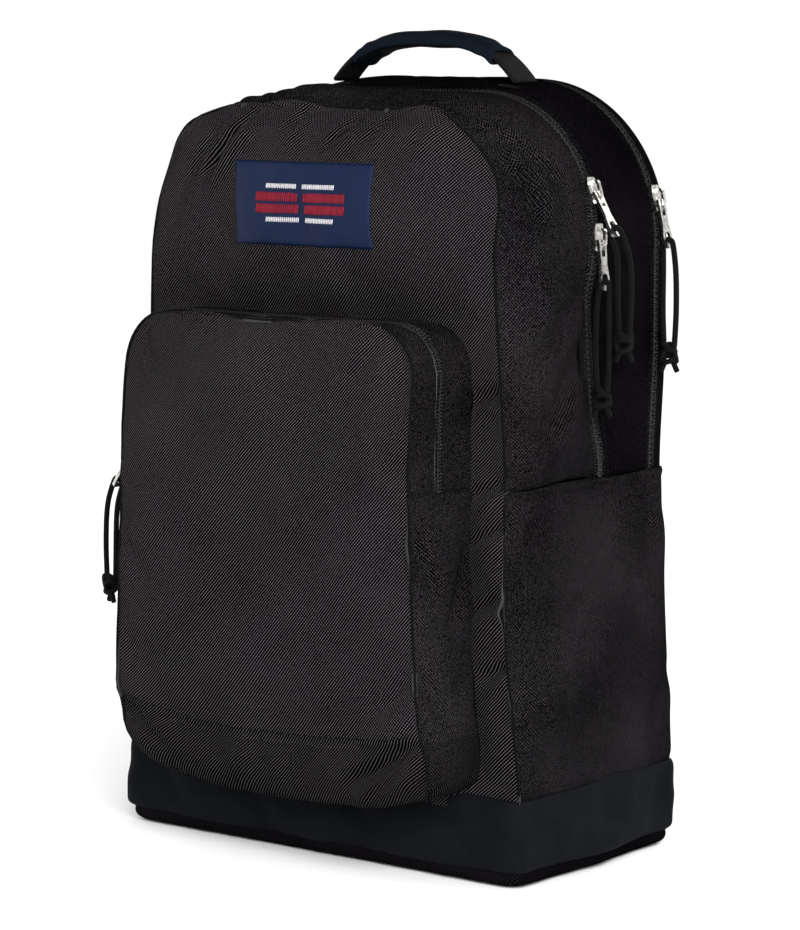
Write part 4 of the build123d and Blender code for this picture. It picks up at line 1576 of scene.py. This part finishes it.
# ---- shoulder straps, back padding and lower webbing ----
def strap_line(low, high, steps=40):
    """Centre line of a strap's pad from its lower end up to the yoke, as (y, z)."""
    ends = ((0.102, low), (0.112, (low + high) * 0.5), (0.091, high))
    points = []
    for t in np.linspace(0, 1, steps):
        a = np.array(ends[0]) * (1 - t) * (1 - 2 * t)
        b = np.array(ends[1]) * 4 * t * (1 - t)
        c = np.array(ends[2]) * t * (2 * t - 1)
        points.append(a + b + c)
    return np.array(points)


STRAP_LOW, STRAP_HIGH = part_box("strap_pad_right")
STRAP_X = (STRAP_LOW.x + STRAP_HIGH.x) / 2


def strap_half(t):
    """Half width of a strap's pad at share t of its length."""
    return 0.029 * min(1.0, 0.62 + 0.38 * smooth_step(0.0, 0.13, t))


def strap_pad(side, name):
    """Foam strap: woven cloth outside, spacer mesh inside, bound edges and two rows of topstitching."""
    line = strap_line(STRAP_LOW.z, 0.436)
    ways = np.gradient(line, axis=0)
    ways /= np.linalg.norm(ways, axis=1)[:, None]
    columns = 17
    verts = []
    for k, ((y, z), way) in enumerate(zip(line, ways)):
        t = k / (len(line) - 1)
        half = strap_half(t)
        bow = side * 0.0035 * sin(pi * t)
        out = np.array((way[1], -way[0]))
        for j in range(columns):
            u = -1 + 2 * j / (columns - 1)
            thick = 0.0018 + 0.0040 * (1 - abs(u) ** 5)
            channel = 0.0011 * (bell(abs(u) - 0.78, 0.07))
            place = np.array((y, z)) + out * (thick - channel)
            verts.append((side * STRAP_X + bow + u * half, place[0], place[1]))
        for j in range(columns):
            u = 1 - 2 * j / (columns - 1)
            thick = 0.0018 + 0.0036 * (1 - abs(u) ** 5)
            place = np.array((y, z)) - out * thick
            verts.append((side * STRAP_X + bow + u * half, place[0], place[1]))
    count = 2 * columns
    obj = new_mesh(f"strap_pad_cover_{name}", verts, ring_faces(len(line), count), [CLOTH, SPACER])
    agree_normals(obj)
    for index, polygon in enumerate(obj.data.polygons):
        if index < (len(line) - 1) * count and index % count >= columns - 1:
            polygon.material_index = 1
    subdivide(obj)
    tree = tree_of(obj)
    binding = []
    for edge in (-1, 1):
        points = []
        for k, (y, z) in enumerate(line):
            t = k / (len(line) - 1)
            x = side * STRAP_X + side * 0.0035 * sin(pi * t) + edge * (strap_half(t) + 0.0003)
            points.append((x, y, z))
        binding.append(points)
    bits = Bits()
    for points in binding:
        verts, faces = tube(points, 0.0026, 8, flat=0.75)
        bits.add(verts, faces)
    bound = bits.object(f"strap_binding_{name}", [WEBBING])
    thread = Bits()
    for edge in (-0.78, 0.78):
        points = []
        for k, ((y, z), way) in enumerate(zip(line, ways)):
            t = k / (len(line) - 1)
            x = side * STRAP_X + side * 0.0035 * sin(pi * t) + edge * strap_half(t)
            points.append((x, y + way[1] * 0.01, z - way[0] * 0.01))
        stitch_row(thread, points, tree, 0.0001, 0.0046, 0.0030, 0.0008)
    sewn = thread.object(f"strap_stitches_{name}", [THREAD])
    return obj, bound, sewn


def round_pad(name, centre_x, width, low, high, depth, base_y):
    """Back pad: quilted spacer mesh over foam, with channels and a sewn edge."""
    columns, rows = 34, 96
    verts = []
    for i in range(rows):
        for j in range(columns):
            u = -1 + 2 * j / (columns - 1)
            v = -1 + 2 * i / (rows - 1)
            x = u * width / 2
            z = v * (high - low) / 2
            reach_x = width / 2 - abs(x)
            reach_z = (high - low) / 2 - abs(z)
            corner_in = min(reach_x, reach_z)
            rise = 1 - max(0.0, 1 - corner_in / 0.010) ** 2.2
            wave = 0.0016 * (cos(2 * pi * z / 0.064) ** 8)
            squeeze = 1 - 0.10 * max(0.0, abs(v) ** 16) * 0.5
            edge_round = (1 - abs(v) ** 26 * 0.10)
            verts.append(
                (
                    centre_x + x * edge_round,
                    base_y + 0.0006 + depth * 0.94 * rise * squeeze - wave * rise,
                    (low + high) / 2 + z,
                )
            )
    obj = new_mesh(name, verts, grid_faces(rows, columns), [SPACER])
    outward(obj, (centre_x, 0.0, (low + high) / 2))
    co = coords(obj)
    held = np.zeros(len(co))
    border = (np.abs(co[:, 2] - (low + high) / 2) > (high - low) / 2 - 0.003) | (
        np.abs(co[:, 0] - centre_x) > width / 2 - 0.004
    )
    held[border] = 1.0
    trough = np.cos(2 * pi * (co[:, 2] - (low + high) / 2) / 0.064) ** 8 > 0.8
    held[trough] = 0.97
    inflate(obj, held, pressure=2.0, slack=0.006, cap=0.0012)
    subdivide(obj)
    return obj


pad_low, pad_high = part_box("back_padding")
for side, name in ((-1, "left"), (1, "right")):
    inner = 0.006
    width = pad_high.x - inner
    pad = round_pad(
        f"back_pad_{name}",
        side * (inner + width / 2),
        width,
        pad_low.z,
        pad_high.z,
        pad_high.y - BACK_Y,
        BACK_Y + 0.002,
    )
    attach(pad, "bag")
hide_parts("back_padding")

pad_edges = Bits()
for side in (-1, 1):
    x0, x1 = side * 0.006, side * pad_high.x
    corners = [(x0, pad_low.z), (x1, pad_low.z), (x1, pad_high.z), (x0, pad_high.z)]
    ring = []
    for k in range(4):
        a = np.array(corners[k])
        b = np.array(corners[(k + 1) % 4])
        for t in np.linspace(0, 1, 40)[:-1]:
            p = a + (b - a) * t
            ring.append((p[0], BACK_Y + 0.0048, p[1]))
    verts, faces = tube(ring, 0.0023, 8, closed=True, flat=0.8, up=(0, 1, 0))
    pad_edges.add(verts, faces)
pad_binding = pad_edges.object("back_pad_binding", [WEBBING])

for side, name in ((-1, "left"), (1, "right")):
    cover, bound, sewn = strap_pad(side, name)
    body = f"strap_{name}"
    for piece in (cover, bound, sewn):
        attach(piece, body)
    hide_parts(f"strap_pad_{name}")

    lock_low, lock_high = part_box(f"ladder_lock_{name}")
    lock_x = (lock_low.x + lock_high.x) / 2
    lock_y = (lock_low.y + lock_high.y) / 2
    # a sewn loop holds the ladder lock's top bar to the pad
    loop_line = [
        (lock_x, 0.1005, STRAP_LOW.z + 0.016),
        (lock_x, 0.0990, STRAP_LOW.z + 0.006),
        (lock_x, 0.0993, STRAP_LOW.z - 0.004),
        (lock_x, lock_y - 0.0027, lock_high.z - 0.0072),
        (lock_x, lock_y - 0.0002, lock_high.z - 0.0102),
        (lock_x, lock_y + 0.0034, lock_high.z - 0.0080),
        (lock_x, lock_y + 0.0036, lock_high.z + 0.001),
        (lock_x, lock_y + 0.0045, STRAP_LOW.z + 0.014),
    ]
    verts, faces = ribbon(loop_line, [(1, 0, 0)] * len(loop_line), 0.024, 0.0014)
    lock_loop = new_mesh(f"lock_loop_{name}", verts, faces, [WEBBING])
    subdivide(lock_loop)
    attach(lock_loop, body)

    # the adjustable webbing from the bag's lower corner, through the lock, with its loose tail
    end_x = side * 0.112
    rise = []
    for t in np.linspace(0, 1, 26):
        x = end_x + (lock_x - end_x) * t
        y = 0.0838 + (lock_y - 0.0012 - 0.0838) * t - 0.004 * sin(pi * t) * 0.3
        z = 0.046 + (lock_low.z + 0.002 - 0.046) * t
        rise.append((x, y + 0.0012 * sin(6 * t), z))
    verts, faces = ribbon(rise, [(1, 0.0, 0.25 * side * -1)] * len(rise), 0.0245, 0.0015)
    web = new_mesh(f"strap_webbing_{name}", verts, faces, [WEBBING])
    subdivide(web)
    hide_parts(f"lower_webbing_{name}")
    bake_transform(web)

    weave = [
        (lock_x, lock_y - 0.0016, lock_low.z + 0.001),
        (lock_x, lock_y - 0.0014, lock_low.z + 0.0055),
        (lock_x, lock_y + 0.0004, lock_low.z + 0.0086),
        (lock_x, lock_y + 0.0032, lock_low.z + 0.0110),
        (lock_x, lock_y + 0.0040, lock_low.z + 0.0150),
        (lock_x, lock_y + 0.0012, lock_low.z + 0.0196),
    ]
    tail = [
        (lock_x, lock_y + 0.0030, lock_low.z + 0.0110),
        (lock_x, lock_y + 0.0042, lock_low.z + 0.0060),
        (lock_x, lock_y + 0.0052, lock_low.z - 0.004),
        (lock_x + side * 0.001, lock_y + 0.0060, lock_low.z - 0.022),
        (lock_x + side * 0.002, lock_y + 0.0048, lock_low.z - 0.042),
        (lock_x + side * 0.003, lock_y + 0.0056, lock_low.z - 0.060),
    ]
    bits = Bits()
    for route in (weave, tail):
        verts, faces = ribbon(route, [(1, 0, 0)] * len(route), 0.0245, 0.0014)
        bits.add(verts, faces)
    tail_end = ribbon(
        [
            (lock_x + side * 0.0029, lock_y + 0.0056, lock_low.z - 0.0535),
            (lock_x + side * 0.0031, lock_y + 0.0066, lock_low.z - 0.0585),
            (lock_x + side * 0.0032, lock_y + 0.0066, lock_low.z - 0.0625),
            (lock_x + side * 0.0030, lock_y + 0.0056, lock_low.z - 0.0640),
        ],
        [(1, 0, 0)] * 4,
        0.0245,
        0.0022,
    )
    bits.add(*tail_end)
    tail_piece = bits.object(f"webbing_tail_{name}", [WEBBING])
    subdivide(tail_piece)
    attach(tail_piece, body)


# ---- yoke, corner tabs ----
def flat_patch(name, outline, y, thickness, material, columns=24, rows=12, ripple=0.0003):
    """Sewn patch on the back: outline gives the four corners (x, z) in order."""
    a, b, c, d = (np.array(p) for p in outline)
    verts = []
    for i in range(rows):
        v = i / (rows - 1)
        for j in range(columns):
            u = j / (columns - 1)
            p = a * (1 - u) * (1 - v) + b * u * (1 - v) + c * u * v + d * (1 - u) * v
            edge = min(u, 1 - u, v, 1 - v)
            rise = thickness * (0.75 + 0.25 * min(1.0, edge / 0.08))
            verts.append((p[0], y + rise + ripple * sin(p[0] * 300) * sin(p[1] * 240), p[1]))
    obj = new_mesh(name, verts, grid_faces(rows, columns), [material])
    outward(obj, (0, 0, 0.2))
    return thicken(obj, thickness * 0.8)


yoke_low, yoke_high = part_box("strap_yoke")
yoke = flat_patch(
    "strap_yoke_patch",
    (
        (yoke_low.x, yoke_low.z),
        (yoke_high.x, yoke_low.z),
        (yoke_high.x, yoke_high.z),
        (yoke_low.x, yoke_high.z),
    ),
    BACK_Y + 0.0005,
    0.0027,
    WEBBING,
    44,
    14,
)
yoke_tree = tree_of(yoke)
yoke_thread = Bits()
y = BACK_Y + 0.004
for z in (yoke_low.z + 0.003, yoke_low.z + 0.0065, yoke_high.z - 0.003):
    stitch_row(yoke_thread, [(yoke_low.x + 0.003, y, z), (yoke_high.x - 0.003, y, z)], yoke_tree)
for side in (-1, 1):
    x0, x1 = side * STRAP_X - 0.024, side * STRAP_X + 0.024
    z0, z1 = yoke_low.z + 0.009, yoke_high.z - 0.006
    route = [(x0, y, z0), (x1, y, z0), (x1, y, z1), (x0, y, z1), (x0, y, z0), (x1, y, z1)]
    for first, second in zip(route, route[1:]):
        stitch_row(yoke_thread, [first, second], yoke_tree)
yoke_stitches = yoke_thread.object("strap_yoke_stitches", [THREAD])

corner_patches = []
for side, name in ((-1, "left"), (1, "right")):
    patch = flat_patch(
        f"corner_tab_{name}",
        ((side * 0.105, 0.012), (side * 0.139, 0.012), (side * 0.126, 0.050), (side * 0.098, 0.050)),
        BACK_Y + 0.0022,
        0.0021,
        WEBBING,
        16,
        16,
    )
    corner_patches.append(patch)
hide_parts("corner_tabs")


# ---- inside: divider, sleeve, organiser, hems ----
def inner_panel(name, low, high, y, bulge, material, columns=28, rows=34, round_top=0.0, thickness=0.0018):
    verts = []
    for i in range(rows):
        v = i / (rows - 1)
        z = low.z + (high.z - low.z) * v
        reach = 1.0
        if round_top and z > high.z - round_top:
            rise = (z - high.z + round_top) / round_top
            reach = 1 - (1 - sqrt(max(0.0, 1 - rise**2))) * round_top / high.x
        for j in range(columns):
            u = -1 + 2 * j / (columns - 1)
            ripple = bulge * (1 - u * u) * sin(pi * v) + 0.0006 * sin(u * 21 + 3 * v) * sin(v * 9)
            verts.append((u * high.x * reach, y - ripple, z))
    obj = new_mesh(name, verts, grid_faces(rows, columns), [material])
    outward(obj, (0, 0.2, 0.2))
    subdivide(obj)
    return thicken(obj, thickness)


low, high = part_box("compartment_divider")
middle_y = (low.y + high.y) / 2
divider = inner_panel("compartment_divider_cloth", low, high, middle_y, 0.004, LINING, round_top=0.07)
low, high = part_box("laptop_sleeve")
sleeve = inner_panel("laptop_sleeve_cloth", low, high, low.y + 0.001, 0.003, SPACER, thickness=0.003)
low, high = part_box("organizer")
organiser = inner_panel("organiser_cloth", low, high, low.y, 0.0005, LINING, thickness=0.0012)
hem_bits = Bits()
for node, offset in (("laptop_sleeve", 0.001), ("organizer", 0.0)):
    low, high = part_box(node)
    edge = [(x, low.y + offset - 0.0005, high.z) for x in np.linspace(low.x, high.x, 40)]
    verts, faces = tube(edge, 0.0018, 8)
    hem_bits.add(verts, faces)
low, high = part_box("organizer")
for x in (-0.03, 0.03):
    edge = [(x, low.y - 0.0009, z) for z in np.linspace(low.z, high.z, 24)]
    verts, faces = tube(edge, 0.0007, 6)
    hem_bits.add(verts, faces)
hems = hem_bits.object("inner_hems", [WEBBING])

# ---- topstitching on the shell ----
all_tree = tree_of(front_cloth, rear_cloth_painted_shade, rear_rim, *side_cloths)
thread = Bits()
for side in (-1, 1):
    row = [(side * HALF, y, SEAM_Z - 0.003) for y in np.linspace(FRONT_Y + 0.004, BACK_Y - 0.004, 30)]
    stitch_row(thread, flare(row), all_tree)
side_thread = thread.object("side_seam_stitches", [THREAD])
thread = Bits()
stitch_row(thread, flare(arch_line(ZIP_Y + RIM + 0.0035, 0.0, SEAM_ROW)), all_tree)
stitch_row(thread, flare(arch_line(REAR_ZIP_Y - REAR_RIM - 0.0035, 0.0, SEAM_ROW)), all_tree)
rear_thread = thread.object("rear_gusset_stitches", [THREAD])
thread = Bits()
stitch_row(thread, flare(arch_line(ZIP_Y - RIM - 0.0035, 0.0, SEAM_ROW)), all_tree)
lid_thread = thread.object("main_lid_stitches", [THREAD])
pocket_all = tree_of(pocket_cloth, pocket_sides, pocket_arch)
thread = Bits()
behind_zip = pocket_line(POCKET_ZIP_Y + POCKET_RIM + 0.003, 0.0, POCKET_ROWS)
stitch_row(thread, pocket_shape(behind_zip), pocket_all)
row = np.linspace(FRONT_Y - 0.004, POCKET_Y + 0.004, 20)
for side in (-1, 1):
    stitch_row(thread, pocket_shape([(side * POCKET_HALF, yy, SEAM_Z - 0.003) for yy in row]), pocket_all)
band_reach = POCKET_HALF - 0.002
band_row = [(x, POCKET_Y - 0.01, BAND_Z + 0.0035) for x in np.linspace(-band_reach, band_reach, 60)]
stitch_row(thread, pocket_shape(band_row), pocket_all)
pocket_thread = thread.object("pocket_stitches", [THREAD])
thread = Bits()
before_zip = pocket_line(POCKET_ZIP_Y - POCKET_RIM - 0.003, 0.0, POCKET_ROWS)
stitch_row(thread, pocket_shape(before_zip), pocket_all)
flap_thread = thread.object("pocket_flap_stitches", [THREAD])

tab_tree = tree_of(tabs)
thread = Bits()
for side in (-1, 1):
    for across in (-0.0095, 0.0095):
        inner_end = np.array((side * (TAB_X - 0.010), HANDLE_Y + across, 0.475))
        outer_end = np.array((side * (TAB_X + 0.011), HANDLE_Y + across, 0.472))
        route = [tuple(inner_end * (1 - t) + outer_end * t) for t in np.linspace(0, 1, 8)]
        stitch_row(thread, route, tab_tree)
tab_thread = thread.object("handle_tab_stitches", [THREAD])

# ---- thickness, bodies and finishes ----
SKIN_THICKNESS = 0.0018
body_skins = (front_cloth, rear_cloth_painted_shade, rear_rim, back_cloth, *side_cloths)
shell_skins = (*body_skins, pocket_cloth, pocket_sides, pocket_arch)
for skin in (*shell_skins, suede_cloth):
    thicken(skin, SKIN_THICKNESS, 1)
    for polygon in skin.data.polygons:
        if polygon.material_index > 2:
            polygon.material_index = 1

for piece in (front_cloth, front_piping, main_front_tape, edges["main_front"], lid_thread):
    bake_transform(piece)
for piece in (pocket_cloth, pocket_piping, pocket_tapes[0], edges["pocket_front"], flap_thread):
    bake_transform(piece)
for piece in (label, label_thread, emblem_thread, emblem_middle):
    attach(piece, "main_lid")
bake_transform(handle_web)
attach(grip, "haul_handle")
for piece in (
    *side_cloths,
    rear_cloth_painted_shade,
    rear_rim,
    back_cloth,
    pocket_sides,
    pocket_arch,
    suede_cloth,
    main_rear_tape,
    main_teeth,
    rear_tape_a,
    rear_tape_b,
    rear_teeth,
    pocket_tapes[1],
    pocket_teeth,
    edges["main_rear"],
    edges["rear_front"],
    edges["rear_rear"],
    edges["pocket_rear"],
    tabs,
    pad_binding,
    yoke,
    yoke_stitches,
    *corner_patches,
    divider,
    sleeve,
    organiser,
    hems,
    side_thread,
    rear_thread,
    pocket_thread,
    tab_thread,
):
    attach(piece, "bag")

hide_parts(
    "front_panel_lower",
    "front_panel_upper",
    "front_gusset_left",
    "front_gusset_right",
    "front_gusset_arch",
)
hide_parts("side_panel_left")
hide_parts("side_panel_right")
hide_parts("rear_gusset")
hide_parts("back_panel")
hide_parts("pocket_face_lower", "pocket_face_upper", "pocket_band", "pocket_front_arch")
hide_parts("pocket_floor", "pocket_side_left", "pocket_side_right")
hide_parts("pocket_rear_arch")
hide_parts("suede_base")
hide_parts("main_zip_front_tape")
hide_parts("main_zip_tape")
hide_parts("main_zip_chain")
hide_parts("rear_zip_tape")
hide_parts("rear_zip_chain")
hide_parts("pocket_zip_tape")
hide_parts("pocket_zip_chain")
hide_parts("label")
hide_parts("handle_webbing")
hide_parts("handle_grip")
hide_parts("handle_tabs")
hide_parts("strap_yoke")
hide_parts("compartment_divider")
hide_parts("laptop_sleeve")
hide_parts("organizer")

# ---- CAD nodes that are shown as they are ----
for node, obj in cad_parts.items():
    if obj.hide_render:
        continue
    if node.startswith(("slider_", "pull_")):
        material = METAL
    elif node.startswith("ladder"):
        material = BUCKLE
    else:
        material = BOARD
    obj.data.materials.clear()
    obj.data.materials.append(material)
    if material is not BOARD:
        soften = obj.modifiers.new("soft edges", "BEVEL")
        soften.width = 0.00035
        soften.segments = 2
        soften.limit_method = "ANGLE"

# ---- floor, light and camera ----
floor_material, _, floor_shader = node_material("studio_floor")
floor_shader.inputs["Base Color"].default_value = (0.93, 0.93, 0.93, 1)
floor_shader.inputs["Roughness"].default_value = 0.9
floor_shader.inputs["Specular IOR Level"].default_value = 0.1
floor_corners = [(-80, -80, 0), (80, -80, 0), (80, 80, 0), (-80, 80, 0)]
floor = new_mesh("studio_floor", floor_corners, [(0, 1, 2, 3)], [floor_material], False)

world = bpy.data.worlds.new("studio")
bpy.context.scene.world = world
world.use_nodes = True
world.node_tree.nodes["Background"].inputs["Color"].default_value = (1.0, 1.0, 1.0, 1)
world.node_tree.nodes["Background"].inputs["Strength"].default_value = 1.08


def softbox(name, place, aim, size, power):
    """A rectangular light that looks at a point."""
    light = bpy.data.lights.new(name, "AREA")
    light.shape = "RECTANGLE"
    light.size, light.size_y = size
    light.energy = power
    obj = bpy.data.objects.new(name, light)
    bpy.context.scene.collection.objects.link(obj)
    obj.location = place
    obj.rotation_mode = "QUATERNION"
    obj.rotation_quaternion = (Vector(aim) - Vector(place)).to_track_quat("-Z", "Y")


softbox("key", (2.0, -1.7, 1.5), (0, 0, 0.22), (1.5, 1.5), 110)
softbox("fill", (-1.8, -1.3, 0.9), (0, 0, 0.25), (1.0, 1.4), 5)
softbox("rim", (0.2, 1.9, 1.6), (0, 0, 0.3), (1.4, 0.8), 14)
# a black card above the bag, out of the camera's sight, darkens what faces up
flag_material, _, flag_shader = node_material("studio_flag")
flag_shader.inputs["Base Color"].default_value = (0.01, 0.01, 0.01, 1)
flag_corners = [(-0.42, -0.3, 0.74), (0.42, -0.3, 0.74), (0.42, 0.5, 0.74), (-0.42, 0.5, 0.74)]
flag = new_mesh("studio_flag", flag_corners, [(0, 1, 2, 3)], [flag_material], False)
flag.visible_camera = False

AZIMUTH, ELEVATION, DISTANCE = radians(39.5), radians(6.9), 2.3218
# the lens as fitted to the photo: its focal length and the photo's height, both in pixels
FOCAL_PIXELS, PHOTO_PIXELS, SENSOR_MM = 3760, 930, 36
back = Vector((sin(AZIMUTH) * cos(ELEVATION), -cos(AZIMUTH) * cos(ELEVATION), sin(ELEVATION)))
right = Vector((cos(AZIMUTH), sin(AZIMUTH), 0.0))
up = back.cross(right)
target = Vector((0, 0, 0.2054)) - right * 0.0016 + up * 0.02456
camera = bpy.data.objects.new("camera", bpy.data.cameras.new("camera"))
bpy.context.scene.collection.objects.link(camera)
camera.location = target + back * DISTANCE
camera.rotation_mode = "QUATERNION"
camera.rotation_quaternion = (-back).to_track_quat("-Z", "Y")
camera.data.sensor_width = SENSOR_MM
camera.data.lens = FOCAL_PIXELS / PHOTO_PIXELS * SENSOR_MM
camera.data.clip_start = 0.05
camera.data.clip_end = 30
bpy.context.scene.camera = camera
bpy.context.scene.view_settings.view_transform = "Standard"
